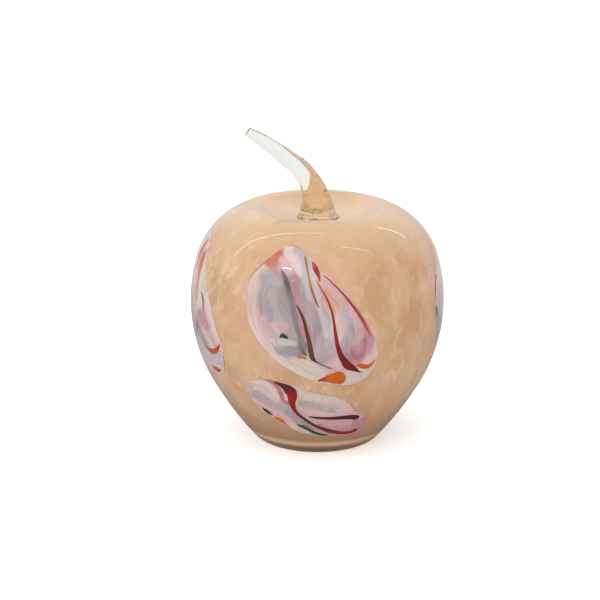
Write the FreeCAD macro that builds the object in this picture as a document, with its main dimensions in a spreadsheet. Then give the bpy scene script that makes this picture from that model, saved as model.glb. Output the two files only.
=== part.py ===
"""Art glass apple: a hollow blown body in three layers of glass, marbled shards and a pulled stem.

The origin is the middle of the flat underside, +Z points up, and -Y is the front. Lengths are in
millimetres and angles in degrees. Every layer of the body is turned from one section: the same
chain of tangent arcs, drawn in by the thickness of the layers over it.
"""
import FreeCAD, Part
import math
import os
import re

import Sketcher

# Driving dimensions
SIZES = {
    # The apple's outer section
    "body_radius": 60.0,
    "belly_height": 68.0,
    "belly_arc_radius": 77.3,
    "flank_angle": 30.4,
    "flank_arc_radius": 170.0,
    "shoulder_angle": 16.0,
    "shoulder_arc_radius": 35.0,
    "lip_arc_radius": 8.8,
    "rim_radius": 30.8,
    "dimple_depth": 6.5,
    "foot_round_radius": 8.0,
    # The layers of glass, from the outside in
    "casing_thickness": 3.6,
    "casing_base_thickness": 6.0,
    "coat_thickness": 1.4,
    "core_thickness": 3.0,
    "layer_foot_radius": 6.0,
    "blow_hole_radius": 5.0,
    # The stem
    "stem_rise": 41.2,
    "stem_reach": 33.0,
    "stem_lean": 57.0,
    "stem_foot_radius": 10.5,
    "stem_neck_radius": 5.1,
    "stem_tip_radius": 2.1,
    # The marbled shards and the strands in them
    "shard_thickness": 0.9,
    "strand_thickness": 0.45,
    "shard_aim_height": 60.0,
    "cut_overrun": 1.0,
    # Each shard: where it faces, how far up it lies, and its size
    "front_azimuth": -3.0,
    "front_tilt": 3.0,
    "front_up": 10.7,
    "front_width": 58.4,
    "front_length": 62.6,
    "low_azimuth": -7.3,
    "low_tilt": -30.0,
    "low_up": -7.5,
    "low_width": 52.0,
    "low_length": 39.0,
    "left_azimuth": -81.0,
    "left_tilt": 4.0,
    "left_up": 6.7,
    "left_width": 58.0,
    "left_length": 62.0,
    "right_azimuth": 97.0,
    "right_tilt": 3.0,
    "right_up": 6.0,
    "right_width": 56.0,
    "right_length": 50.0,
    "back_azimuth": 186.0,
    "back_tilt": 4.0,
    "back_up": 9.0,
    "back_width": 52.0,
    "back_length": 56.0,
    "low_back_azimuth": 170.0,
    "low_back_tilt": -30.0,
    "low_back_up": -8.0,
    "low_back_width": 50.0,
    "low_back_length": 34.0,
}

# Stations of the stem, from its foot in the dimple to its tip: shares of the reach, the rise and
# the lean, the two radii that the station lies between, and its share of the step from the first
# to the second.
STEM_STATION_SHARES = [
    (0.0, 0.0, 0.0, "neck", "foot", 1.0),
    (0.0, 0.045, 0.0, "neck", "foot", 0.80),
    (0.005, 0.093, 0.07, "neck", "foot", 0.63),
    (0.042, 0.292, 0.25, "neck", "foot", 0.24),
    (0.14, 0.46, 0.56, "neck", "foot", 0.0),
    (0.29, 0.602, 0.82, "tip", "neck", 0.83),
    (0.515, 0.743, 0.96, "tip", "neck", 0.63),
    (0.757, 0.876, 0.98, "tip", "neck", 0.43),
    (1.0, 1.0, 1.0, "tip", "neck", 0.0),
]

# Outlines of the shards: points round each one, as shares of its width and its length from its
# middle. A smooth closed curve goes through them.
OUTLINE_SHARES = {
    "front": [
        (-0.18, 0.50), (-0.05, 0.46), (0.075, 0.355), (0.28, 0.19), (0.42, -0.02),
        (0.50, -0.21), (0.465, -0.385), (0.32, -0.495), (0.075, -0.465), (-0.16, -0.37),
        (-0.385, -0.205), (-0.49, 0.01), (-0.48, 0.25), (-0.355, 0.39),
    ],
    "low": [
        (-0.495, 0.26), (-0.37, 0.455), (-0.15, 0.49), (0.09, 0.385), (0.34, 0.205),
        (0.445, -0.06), (0.50, -0.23), (0.44, -0.495), (0.18, -0.44), (-0.06, -0.335),
        (-0.265, -0.175), (-0.45, 0.03),
    ],
    "left": [
        (-0.14, 0.50), (0.02, 0.465), (0.14, 0.39), (0.28, 0.20), (0.39, 0.06), (0.46, -0.12),
        (0.50, -0.235), (0.46, -0.41), (0.36, -0.49), (0.22, -0.50), (0.0, -0.43), (-0.23, -0.32),
        (-0.42, -0.13), (-0.49, 0.10), (-0.43, 0.33), (-0.30, 0.46),
    ],
    "right": [
        (-0.285, 0.37), (-0.40, 0.31), (-0.48, 0.22), (-0.50, 0.06), (-0.45, -0.12),
        (-0.36, -0.31), (-0.20, -0.46), (0.05, -0.49), (0.30, -0.38), (0.46, -0.16),
        (0.49, 0.10), (0.38, 0.33), (0.15, 0.47), (-0.10, 0.46),
    ],
    "back": [
        (-0.10, 0.50), (0.15, 0.43), (0.36, 0.26), (0.49, 0.02), (0.47, -0.24), (0.30, -0.44),
        (0.05, -0.50), (-0.21, -0.42), (-0.41, -0.24), (-0.49, 0.02), (-0.44, 0.27), (-0.29, 0.44),
    ],
    "low_back": [
        (-0.49, 0.10), (-0.36, 0.38), (-0.12, 0.49), (0.15, 0.41), (0.38, 0.28), (0.49, 0.0),
        (0.43, -0.33), (0.20, -0.47), (-0.08, -0.42), (-0.34, -0.27),
    ],
}

# Strands in each shard, by colour. A strand is a run of points along its middle: its shares of the
# shard's width and length, and half its own width as a share of the shard's width.
STRAND_SHARES = {
    ("front", "red"): [
        [(0.01, 0.40, 0.007), (0.03, 0.365, 0.02), (0.055, 0.32, 0.013), (0.065, 0.28, 0.005)],
        [(0.04, 0.285, 0.004), (0.075, 0.235, 0.007), (0.12, 0.165, 0.007), (0.155, 0.085, 0.008),
         (0.175, 0.0, 0.01), (0.19, -0.09, 0.013), (0.205, -0.18, 0.016), (0.235, -0.26, 0.021),
         (0.275, -0.325, 0.032), (0.315, -0.35, 0.028), (0.355, -0.38, 0.01),
         (0.385, -0.39, 0.004)],
        [(0.10, 0.315, 0.004), (0.155, 0.275, 0.006), (0.23, 0.205, 0.007), (0.305, 0.12, 0.009),
         (0.37, 0.03, 0.01), (0.415, -0.05, 0.009), (0.45, -0.12, 0.005)],
    ],
    ("front", "olive"): [
        [(-0.05, 0.43, 0.008), (-0.038, 0.385, 0.008), (-0.02, 0.31, 0.007), (0.005, 0.23, 0.009),
         (0.03, 0.165, 0.009), (0.06, 0.105, 0.004)],
        [(-0.105, 0.115, 0.004), (-0.08, 0.075, 0.009), (-0.05, 0.01, 0.012),
         (-0.028, -0.075, 0.014), (-0.005, -0.155, 0.016), (0.005, -0.22, 0.02),
         (0.02, -0.275, 0.017), (0.055, -0.303, 0.006), (0.11, -0.332, 0.004),
         (0.155, -0.352, 0.004)],
        [(-0.222, 0.335, 0.01), (-0.20, 0.305, 0.017), (-0.176, 0.255, 0.015),
         (-0.152, 0.19, 0.01), (-0.128, 0.13, 0.004)],
        [(-0.095, -0.135, 0.004), (-0.072, -0.187, 0.008), (-0.044, -0.23, 0.008),
         (-0.03, -0.25, 0.004)],
    ],
    ("front", "orange"): [
        [(0.06, -0.448, 0.006), (0.11, -0.436, 0.022), (0.16, -0.43, 0.045),
         (0.21, -0.425, 0.058)],
        [(0.362, -0.335, 0.016), (0.395, -0.347, 0.02), (0.43, -0.35, 0.017),
         (0.46, -0.332, 0.011), (0.48, -0.31, 0.005)],
        [(-0.095, -0.272, 0.004), (-0.062, -0.264, 0.011), (-0.035, -0.274, 0.008)],
    ],
    ("front", "green"): [
        [(-0.228, -0.123, 0.006), (-0.209, -0.11, 0.019), (-0.187, -0.118, 0.013),
         (-0.168, -0.13, 0.004)],
    ],
    ("low", "red"): [
        [(-0.235, 0.465, 0.01), (-0.19, 0.455, 0.02), (-0.14, 0.425, 0.04), (-0.102, 0.37, 0.052),
         (-0.09, 0.30, 0.044), (-0.095, 0.215, 0.032), (-0.083, 0.107, 0.021),
         (-0.046, -0.005, 0.017), (0.002, -0.08, 0.016), (0.05, -0.152, 0.016),
         (0.10, -0.22, 0.017), (0.17, -0.295, 0.025), (0.235, -0.36, 0.025),
         (0.305, -0.415, 0.025), (0.365, -0.445, 0.024), (0.405, -0.43, 0.022)],
        [(0.05, -0.033, 0.009), (0.123, -0.057, 0.016), (0.223, -0.083, 0.02),
         (0.323, -0.108, 0.026), (0.395, -0.142, 0.032), (0.425, -0.165, 0.032)],
    ],
    ("low", "orange"): [
        [(-0.262, -0.122, 0.01), (-0.236, -0.142, 0.024), (-0.203, -0.175, 0.022),
         (-0.165, -0.233, 0.01), (-0.13, -0.27, 0.004)],
    ],
    ("low", "green"): [
        [(-0.362, -0.02, 0.01), (-0.337, -0.045, 0.022), (-0.31, -0.075, 0.02),
         (-0.285, -0.095, 0.009)],
        [(-0.065, -0.195, 0.009), (-0.015, -0.235, 0.022), (0.025, -0.28, 0.02),
         (0.072, -0.345, 0.017), (0.12, -0.385, 0.015), (0.165, -0.41, 0.009)],
    ],
    ("left", "orange"): [
        [(0.015, 0.43, 0.012), (-0.005, 0.40, 0.028), (-0.012, 0.35, 0.034),
         (-0.005, 0.29, 0.028), (0.02, 0.22, 0.01)],
        [(0.10, 0.375, 0.014), (0.10, 0.335, 0.03), (0.102, 0.28, 0.032), (0.112, 0.21, 0.022),
         (0.13, 0.13, 0.016), (0.15, 0.03, 0.008)],
        [(0.28, -0.288, 0.009), (0.305, -0.305, 0.018), (0.36, -0.305, 0.022),
         (0.42, -0.28, 0.018), (0.455, -0.25, 0.013), (0.475, -0.222, 0.006)],
    ],
    ("left", "red"): [
        [(-0.18, 0.33, 0.008), (-0.13, 0.17, 0.014), (-0.10, 0.0, 0.01), (-0.05, -0.16, 0.018),
         (0.05, -0.28, 0.01)],
        [(0.27, -0.445, 0.008), (0.32, -0.448, 0.022), (0.365, -0.445, 0.013),
         (0.39, -0.435, 0.006)],
    ],
    ("left", "olive"): [
        [(0.235, 0.10, 0.007), (0.27, 0.065, 0.016), (0.285, 0.02, 0.013), (0.295, -0.03, 0.006)],
        [(0.155, -0.13, 0.007), (0.15, -0.17, 0.016), (0.13, -0.21, 0.008)],
    ],
    ("right", "red"): [
        [(-0.37, 0.305, 0.008), (-0.415, 0.265, 0.014), (-0.447, 0.21, 0.014),
         (-0.465, 0.145, 0.01), (-0.47, 0.10, 0.005)],
        [(-0.05, 0.34, 0.01), (0.02, 0.16, 0.016), (0.05, -0.04, 0.011), (0.13, -0.24, 0.02),
         (0.20, -0.33, 0.008)],
    ],
    ("right", "olive"): [
        [(-0.46, 0.045, 0.008), (-0.455, -0.007, 0.02), (-0.43, -0.06, 0.016),
         (-0.41, -0.105, 0.007)],
    ],
    ("right", "orange"): [
        [(-0.22, -0.30, 0.01), (-0.12, -0.36, 0.024), (0.0, -0.38, 0.012)],
    ],
    ("back", "red"): [
        [(-0.12, 0.40, 0.012), (-0.06, 0.27, 0.02), (0.02, 0.09, 0.01), (0.06, -0.10, 0.014),
         (0.15, -0.26, 0.026), (0.22, -0.34, 0.008)],
    ],
    ("back", "orange"): [
        [(-0.12, -0.36, 0.01), (0.0, -0.41, 0.03), (0.10, -0.42, 0.01)],
    ],
    ("back", "green"): [
        [(-0.32, -0.05, 0.008), (-0.27, -0.11, 0.018), (-0.21, -0.16, 0.008)],
    ],
    ("low_back", "red"): [
        [(-0.27, 0.25, 0.01), (-0.14, 0.21, 0.03), (-0.02, 0.08, 0.014), (0.10, -0.05, 0.016),
         (0.25, -0.16, 0.008)],
    ],
    ("low_back", "green"): [
        [(-0.17, -0.20, 0.008), (-0.05, -0.26, 0.02), (0.07, -0.32, 0.008)],
    ],
}

# The unit that turns a cell's plain number into a length beside a measured one
UNIT = "1 mm"

doc = FreeCAD.newDocument("glass_apple")


def fill_sheet():
    """Puts each driving dimension in a cell of its own, under its own name."""
    sheet = doc.addObject("Spreadsheet::Sheet", "Sizes")
    for row, (name, value) in enumerate(SIZES.items(), start=1):
        sheet.set(f"A{row}", name)
        sheet.set(f"B{row}", str(value))
        sheet.setAlias(f"B{row}", name)
    doc.recompute()
    return sheet


sizes = fill_sheet()


def size(name):
    return float(sizes.get(name))


def cells(text):
    """Turns a sum of size names into an expression on the sheet."""
    return re.sub("[a-z_]+", lambda word: f"Sizes.{word[0]}" if word[0] in SIZES else word[0], text)


def total(text):
    """The value of size names joined by plus and minus signs, or zero for none."""
    value = 0.0
    sign = 1.0
    for word in text.split():
        if word in "+-":
            sign = 1.0 if word == "+" else -1.0
        else:
            value += sign * size(word)
    return value


def polar(centre, radius, angle):
    """The point on a circle of the section at an angle in radians."""
    return FreeCAD.Vector(
        centre.x + radius * math.cos(angle), centre.y + radius * math.sin(angle), 0
    )


def bearing(centre, point):
    return math.atan2(point.y - centre.y, point.x - centre.x)


def section_geometry(inset, base, corner):
    """The section's arcs as drawn, before its constraints take over.

    Seen from +X outwards: the flat base, the round foot corner, the flank, belly, shoulder and lip,
    all bulging outwards, and the dimple, which is a bowl round the axis.
    """
    flank_angle = math.radians(size("flank_angle"))
    shoulder_angle = math.radians(size("shoulder_angle"))
    belly_radius = size("belly_arc_radius")
    lip_radius = size("lip_arc_radius")
    rim = size("rim_radius")
    depth = size("dimple_depth")
    belly = FreeCAD.Vector(size("body_radius") - belly_radius, size("belly_height"), 0)
    flank = polar(belly, belly_radius - size("flank_arc_radius"), -flank_angle)
    shoulder = polar(belly, belly_radius - size("shoulder_arc_radius"), shoulder_angle)
    reach = size("shoulder_arc_radius") - lip_radius
    lip = FreeCAD.Vector(rim, shoulder.y + math.sqrt(reach**2 - (rim - shoulder.x) ** 2), 0)
    span = (rim**2 + depth**2) / (2 * depth)
    dimple = FreeCAD.Vector(0, lip.y + span - depth, 0)
    flank_radius = size("flank_arc_radius") - inset
    drop = flank.y - base - corner
    foot = FreeCAD.Vector(
        flank.x + math.sqrt((flank_radius - corner) ** 2 - drop**2), base + corner, 0
    )
    foot_end = bearing(flank, foot)
    lip_start = bearing(shoulder, lip)
    lip_end = bearing(lip, dimple)
    up = FreeCAD.Vector(0, 0, 1)

    def arc(centre, radius, start, end):
        return Part.ArcOfCircle(Part.Circle(centre, up, radius), start, end)

    floor = polar(dimple, span - lip_radius + inset, -math.pi / 2)
    heel = FreeCAD.Vector(foot.x, base, 0)
    start = FreeCAD.Vector(0, base, 0)
    return [
        Part.LineSegment(start, heel),
        arc(foot, corner, -math.pi / 2, foot_end),
        arc(flank, flank_radius, foot_end, -flank_angle),
        arc(belly, belly_radius - inset, -flank_angle, shoulder_angle),
        arc(shoulder, size("shoulder_arc_radius") - inset, shoulder_angle, lip_start),
        arc(lip, lip_radius - inset, lip_start, lip_end),
        arc(dimple, span - lip_radius + inset, -math.pi / 2, bearing(dimple, lip)),
        Part.LineSegment(floor, start),
    ]


def origin_plane(body, role):
    return next(part for part in body.Origin.OriginFeatures if part.Role == role)


def upright_sketch(body, name):
    """A sketch on the body's own XZ plane: sketch X is the radius, sketch Y is the height."""
    sketch = body.newObject("Sketcher::SketchObject", name)
    sketch.AttachmentSupport = [(origin_plane(body, "XZ_Plane"), "")]
    sketch.MapMode = "FlatFace"
    return sketch


def section_sketch(body, name, inset, base, corner):
    """Draws the apple's section, drawn in by the layers named in inset, on the base named in base."""
    sketch = upright_sketch(body, name)
    line, foot, flank, belly, shoulder, lip, dimple, axis = sketch.addGeometry(
        section_geometry(total(inset), total(base), size(corner)), False
    )
    first, last, middle = 1, 2, 3
    origin, upright = -1, -2

    def tie(kind, *where):
        return sketch.addConstraint(Sketcher.Constraint(kind, *where))

    def measure(label, kind, expression, *where):
        index = tie(kind, *where, measured[label])
        sketch.renameConstraint(index, label)
        sketch.setExpression(f"Constraints.{label}", expression)

    arcs = sketch.Geometry
    measured = {
        "foot_radius": arcs[foot].Radius,
        "flank_radius": arcs[flank].Radius,
        "flank_height": arcs[flank].Center.y,
        "belly_radius": arcs[belly].Radius,
        "belly_across": arcs[belly].Center.x,
        "belly_height": arcs[belly].Center.y,
        "shoulder_radius": arcs[shoulder].Radius,
        "shoulder_height": arcs[shoulder].Center.y,
        "lip_radius": arcs[lip].Radius,
        "lip_across": arcs[lip].Center.x,
        "dimple_radius": arcs[dimple].Radius,
        "base_height": total(base),
    }
    tie("Horizontal", line)
    tie("Tangent", line, last, foot, first)
    tie("Tangent", foot, last, flank, first)
    tie("Tangent", flank, last, belly, first)
    tie("Tangent", belly, last, shoulder, first)
    tie("Tangent", shoulder, last, lip, first)
    tie("Tangent", lip, last, dimple, last)
    tie("Coincident", axis, first, dimple, first)
    tie("Coincident", axis, last, line, first)
    tie("PointOnObject", line, first, upright)
    tie("PointOnObject", dimple, first, upright)
    tie("PointOnObject", dimple, middle, upright)
    inward = f" - ({cells(inset)})" if inset else ""
    outward = inward.replace("-", "+", 1)
    bowl_span = "(rim_radius ^ 2 + dimple_depth ^ 2) / (2 * dimple_depth)"
    flank_rise = "(flank_arc_radius - belly_arc_radius) * sin(flank_angle)"
    shoulder_rise = "(belly_arc_radius - shoulder_arc_radius) * sin(shoulder_angle)"
    measure("foot_radius", "Radius", cells(corner), foot)
    measure("flank_radius", "Radius", cells("flank_arc_radius") + inward, flank)
    measure("belly_radius", "Radius", cells("belly_arc_radius") + inward, belly)
    measure("shoulder_radius", "Radius", cells("shoulder_arc_radius") + inward, shoulder)
    measure("lip_radius", "Radius", cells("lip_arc_radius") + inward, lip)
    measure("dimple_radius", "Radius", cells(f"{bowl_span} - lip_arc_radius") + outward, dimple)
    measure(
        "belly_across", "DistanceX", cells("body_radius - belly_arc_radius"),
        origin, first, belly, middle,
    )
    measure("belly_height", "DistanceY", cells("belly_height"), origin, first, belly, middle)
    measure(
        "flank_height", "DistanceY", cells(f"belly_height + {flank_rise}"),
        origin, first, flank, middle,
    )
    measure(
        "shoulder_height", "DistanceY", cells(f"belly_height + {shoulder_rise}"),
        origin, first, shoulder, middle,
    )
    measure("lip_across", "DistanceX", cells("rim_radius"), origin, first, lip, middle)
    if base:
        measure("base_height", "DistanceY", cells(base), origin, first, line, first)
    else:
        tie("PointOnObject", line, first, -1)
    floor = tie("DistanceY", origin, first, dimple, first, arcs[dimple].StartPoint.y)
    sketch.setDriving(floor, False)
    sketch.renameConstraint(floor, "floor_height")
    return sketch


def turn(body, kind, name, sketch):
    """Revolves a sketch, or grooves with it, a full turn about the upright axis."""
    feature = body.newObject(kind, name)
    feature.Profile = sketch
    feature.ReferenceAxis = (sketch, ["V_Axis"])
    feature.Angle = 360.0
    return feature


def blow_hole_sketch(body):
    """The blow hole's half section: from the belly's height up through the dimple."""
    sketch = upright_sketch(body, "blow_hole_section")
    radius = size("blow_hole_radius")
    low = size("belly_height")
    high = low + size("body_radius")
    corners = [(0, low), (radius, low), (radius, high), (0, high)]
    points = [FreeCAD.Vector(x, y, 0) for x, y in corners]
    sides = [Part.LineSegment(points[i], points[(i + 1) % 4]) for i in range(4)]
    bottom, side, top, axis = sketch.addGeometry(sides, False)
    for here, after in ((bottom, side), (side, top), (top, axis), (axis, bottom)):
        sketch.addConstraint(Sketcher.Constraint("Coincident", here, 2, after, 1))
    sketch.addConstraint(Sketcher.Constraint("Horizontal", bottom))
    sketch.addConstraint(Sketcher.Constraint("Horizontal", top))
    sketch.addConstraint(Sketcher.Constraint("Vertical", side))
    sketch.addConstraint(Sketcher.Constraint("PointOnObject", axis, 1, -2))
    sketch.addConstraint(Sketcher.Constraint("PointOnObject", axis, 2, -2))
    named = [
        ("radius", Sketcher.Constraint("DistanceX", bottom, 1, bottom, 2, radius),
         "blow_hole_radius"),
        ("low", Sketcher.Constraint("DistanceY", -1, 1, bottom, 1, low), "belly_height"),
        ("high", Sketcher.Constraint("DistanceY", -1, 1, top, 1, high),
         "belly_height + body_radius"),
    ]
    for label, constraint, text in named:
        sketch.renameConstraint(sketch.addConstraint(constraint), label)
        sketch.setExpression(f"Constraints.{label}", cells(text))
    return sketch


def shell(name, outside, inside, hole=True):
    """A layer of the body: the section turned, hollowed by the next section in, and its blow hole.

    outside and inside are (inset, base, corner): the sizes that draw the section in, the sizes
    that lift its flat base, and its foot corner's radius.
    """
    body = doc.addObject("PartDesign::Body", name)
    body.Label = name
    turn(body, "PartDesign::Revolution", "turned", section_sketch(body, "outer_section", *outside))
    doc.recompute()
    solid_volume = body.Shape.Volume
    turn(body, "PartDesign::Groove", "hollow", section_sketch(body, "inner_section", *inside))
    doc.recompute()
    hollow_volume = body.Shape.Volume
    if not hollow_volume < solid_volume:
        raise RuntimeError(f"{name} wasn't hollowed")
    if hole:
        turn(body, "PartDesign::Groove", "blow_hole", blow_hole_sketch(body))
        doc.recompute()
        if not body.Shape.Volume < hollow_volume:
            raise RuntimeError(f"{name} has no blow hole")
    return body


UNDER_CASING = "casing_thickness"
UNDER_COAT = "casing_thickness + coat_thickness"
UNDER_CORE = "casing_thickness + coat_thickness + core_thickness"
OUTSIDE = ("", "", "foot_round_radius")
CASING_INSIDE = (UNDER_CASING, "casing_base_thickness", "layer_foot_radius")
COAT_INSIDE = (UNDER_COAT, "casing_base_thickness + coat_thickness", "layer_foot_radius")
CORE_INSIDE = (
    UNDER_CORE, "casing_base_thickness + coat_thickness + core_thickness", "layer_foot_radius"
)


def boolean(kind, name, base, tool):
    """A cut, or the part that two solids share."""
    result = doc.addObject(kind, name)
    result.Label = name
    result.Base = base
    result.Tool = tool
    return result


def shard_placement(shard):
    """The shard's own frame: X across it, Y up it and Z out of the apple.

    It stands as far from the axis as the dimple's rim, so that nothing laid out on it and carried
    outwards meets the dimple.
    """
    facing = FreeCAD.Rotation(FreeCAD.Vector(0, 0, 1), size(f"{shard}_azimuth"))
    upright = FreeCAD.Rotation(FreeCAD.Vector(1, 0, 0), 90 - size(f"{shard}_tilt"))
    rotation = facing * upright
    aim = FreeCAD.Vector(0, 0, size("shard_aim_height"))
    clear = rotation.multVec(FreeCAD.Vector(0, 0, size("rim_radius")))
    return FreeCAD.Placement(aim + clear, rotation)


def laid_out(shard, across_share, up_share):
    return FreeCAD.Vector(
        across_share * size(f"{shard}_width"),
        size(f"{shard}_up") + up_share * size(f"{shard}_length"),
        0,
    )


def prism(name, shard, outline_edges):
    """An outline in the shard's frame, carried straight out through the apple's wall."""
    outline = doc.addObject("Part::Feature", f"{name}_outline")
    outline.Shape = Part.Wire(outline_edges)
    outline.Placement = shard_placement(shard)
    solid = doc.addObject("Part::Extrusion", name)
    solid.Base = outline
    solid.DirMode = "Custom"
    solid.Dir = outline.Placement.Rotation.multVec(FreeCAD.Vector(0, 0, 1))
    solid.setExpression("LengthFwd", cells("body_radius - rim_radius + cut_overrun"))
    solid.Solid = True
    return solid


def smooth_edge(points, closed=False):
    curve = Part.BSplineCurve()
    curve.interpolate(points, PeriodicFlag=closed)
    return curve.toShape()


def shard_outline(shard):
    points = [laid_out(shard, across, up) for across, up in OUTLINE_SHARES[shard]]
    return [smooth_edge(points, closed=True)]


def strand_outline(shard, shares):
    """Both sides of a strand and its two round tips, from the points along its middle."""
    middle = [laid_out(shard, across, up) for across, up, half in shares]
    halves = [half * size(f"{shard}_width") for across, up, half in shares]
    last = len(middle) - 1
    left = []
    right = []
    along = []
    for index, (point, half) in enumerate(zip(middle, halves)):
        ahead = (middle[min(index + 1, last)] - middle[max(index - 1, 0)]).normalize()
        aside = FreeCAD.Vector(-ahead.y, ahead.x, 0) * half
        along.append(ahead)
        left.append(point + aside)
        right.append(point - aside)
    first_tip = middle[0] - along[0] * halves[0]
    last_tip = middle[last] + along[last] * halves[last]
    return [
        smooth_edge(left),
        Part.Arc(left[last], last_tip, right[last]).toShape(),
        smooth_edge(right[::-1]),
        Part.Arc(right[0], first_tip, left[0]).toShape(),
    ]


def inlay_slab(name, depth):
    """A shell from just outside the colour coat's face to a depth under it, which inlays lie in."""
    outside = ("casing_thickness - cut_overrun", "casing_base_thickness - cut_overrun")
    inside = (f"casing_thickness + {depth}", f"casing_base_thickness + {depth}")
    return shell(
        name, outside + ("layer_foot_radius",), inside + ("layer_foot_radius",), hole=False
    )


def compound(name, parts):
    group = doc.addObject("Part::Compound", name)
    group.Links = parts
    return group


def inlaid_shard(shard, coat, shard_slab, strand_slab):
    """A shard flush in the coat's face with its strands flush in its own: its pocket and its nodes."""
    pocket = boolean(
        "Part::Common", f"{shard}_pocket", shard_slab,
        prism(f"{shard}_prism", shard, shard_outline(shard)),
    )
    blank = boolean("Part::Common", f"{shard}_blank", coat, pocket)
    strands = []
    grooves = []
    for (owner, colour), runs in STRAND_SHARES.items():
        if owner != shard:
            continue
        name = f"{shard}_{colour}"
        prisms = [
            prism(f"{name}_prism", shard, strand_outline(shard, shares)) for shares in runs
        ]
        groove = boolean(
            "Part::Common", f"{name}_groove", strand_slab, compound(f"{name}_prisms", prisms)
        )
        grooves.append(groove)
        strands.append(boolean("Part::Common", f"{name}_strands", blank, groove))
    ground = boolean("Part::Cut", f"{shard}_shard", blank, compound(f"{shard}_grooves", grooves))
    return pocket, [ground] + strands


def stem_station(number, station, floor):
    """One of the round sections that the stem is drawn through."""
    reach_share, rise_share, lean_share, thin, thick, blend_share = station
    circle = doc.addObject("Part::Circle", f"stem_station_{number}")
    thin_radius, thick_radius = f"stem_{thin}_radius", f"stem_{thick}_radius"
    circle.setExpression(
        "Radius", cells(f"{thin_radius} + {blend_share} * ({thick_radius} - {thin_radius})")
    )
    circle.Placement.Rotation = FreeCAD.Rotation(
        FreeCAD.Vector(0, -1, 0), lean_share * size("stem_lean")
    )
    circle.setExpression("Placement.Base.x", cells(f"-{reach_share} * stem_reach"))
    circle.setExpression(
        "Placement.Base.z", f"{floor} + {rise_share} * Sizes.stem_rise * {UNIT}"
    )
    return circle


def pulled_stem(casing):
    """The stem: a taper drawn through its stations, seated in the dimple, with a plug in the hole."""
    floor = f"{casing.Group[0].Name}.Constraints.floor_height"
    pull = doc.addObject("Part::Loft", "stem_pull")
    pull.Sections = [
        stem_station(number, station, floor) for number, station in enumerate(STEM_STATION_SHARES)
    ]
    pull.Solid = True
    plug = doc.addObject("Part::Cylinder", "stem_plug")
    plug.setExpression("Radius", cells("blow_hole_radius"))
    plug.setExpression("Height", cells(f"{UNDER_CORE} + cut_overrun"))
    plug.setExpression("Placement.Base.z", f"{floor} - ({cells(UNDER_CORE)}) * {UNIT}")
    blank = boolean("Part::Fuse", "stem_blank", pull, plug)
    return boolean("Part::Cut", "stem", blank, casing)


clear_casing = shell("clear_casing", OUTSIDE, CASING_INSIDE)
coat_blank = shell("coat_blank", CASING_INSIDE, COAT_INSIDE)
core_bubble = shell("core_bubble", COAT_INSIDE, CORE_INSIDE)
shard_slab = inlay_slab("shard_slab", "shard_thickness")
strand_slab = inlay_slab("strand_slab", "strand_thickness")
stem = pulled_stem(clear_casing)

pockets = []
inlays = []
for shard in OUTLINE_SHARES:
    pocket, nodes = inlaid_shard(shard, coat_blank, shard_slab, strand_slab)
    pockets.append(pocket)
    inlays.extend(nodes)
colour_coat = boolean("Part::Cut", "colour_coat", coat_blank, compound("pockets", pockets))
doc.recompute()

for feature in doc.Objects:
    if "Invalid" in feature.State or "Error" in feature.State:
        raise RuntimeError(f"{feature.Name} failed: {feature.State}")

nodes = [clear_casing, colour_coat, core_bubble, stem] + inlays
os.makedirs("parts", exist_ok=True)
for node in nodes:
    if node.Shape.isNull() or not node.Shape.isValid():
        raise RuntimeError(f"{node.Label} has no sound shape")
    node.Shape.exportStep(f"parts/{node.Label}.step")
    print(node.Label, len(node.Shape.Solids), "solid(s),", round(node.Shape.Volume), "mm3")
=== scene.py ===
"""Art glass apple: the looks of the clear casing, the peach coat, the marbled shards and the pulled stem."""
import math
import bmesh
import bpy
from mathutils import Matrix, Vector, noise
from mathutils.bvhtree import BVHTree


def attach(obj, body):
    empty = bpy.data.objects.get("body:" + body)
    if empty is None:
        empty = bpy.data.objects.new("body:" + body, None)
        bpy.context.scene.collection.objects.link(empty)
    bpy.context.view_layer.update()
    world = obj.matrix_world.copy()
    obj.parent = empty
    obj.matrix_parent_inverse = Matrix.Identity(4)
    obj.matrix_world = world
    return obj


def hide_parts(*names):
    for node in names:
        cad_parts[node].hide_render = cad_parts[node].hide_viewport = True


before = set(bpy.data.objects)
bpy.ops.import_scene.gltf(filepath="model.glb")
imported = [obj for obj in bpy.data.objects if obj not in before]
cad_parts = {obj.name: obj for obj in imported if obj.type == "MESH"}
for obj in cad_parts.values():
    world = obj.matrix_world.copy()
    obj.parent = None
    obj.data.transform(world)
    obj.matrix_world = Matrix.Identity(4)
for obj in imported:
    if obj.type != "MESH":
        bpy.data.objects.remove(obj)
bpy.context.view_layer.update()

# The noise that sways the marbling starts from the same place on each run
MARBLING_SEED = 4
noise.seed_set(MARBLING_SEED)

# Sizes of the model in metres and degrees, under the names they have in the model's own sheet
BODY_RADIUS = 0.060
BELLY_HEIGHT = 0.068
BELLY_ARC_RADIUS = 0.0773
FLANK_ANGLE = math.radians(30.4)
FLANK_ARC_RADIUS = 0.170
SHOULDER_ANGLE = math.radians(16)
SHOULDER_ARC_RADIUS = 0.035
LIP_ARC_RADIUS = 0.0088
RIM_RADIUS = 0.0308
DIMPLE_DEPTH = 0.0065
FOOT_ROUND_RADIUS = 0.008
CASING_THICKNESS = 0.0036
CASING_BASE_THICKNESS = 0.006
COAT_THICKNESS = 0.0014
CORE_THICKNESS = 0.003
LAYER_FOOT_RADIUS = 0.006
BLOW_HOLE_RADIUS = 0.005
STEM_RISE = 0.0412
STEM_REACH = 0.033
STEM_LEAN = math.radians(57)
STEM_FOOT_RADIUS = 0.0105
STEM_NECK_RADIUS = 0.0051
STEM_TIP_RADIUS = 0.0021
SHARD_AIM_HEIGHT = 0.060

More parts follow.
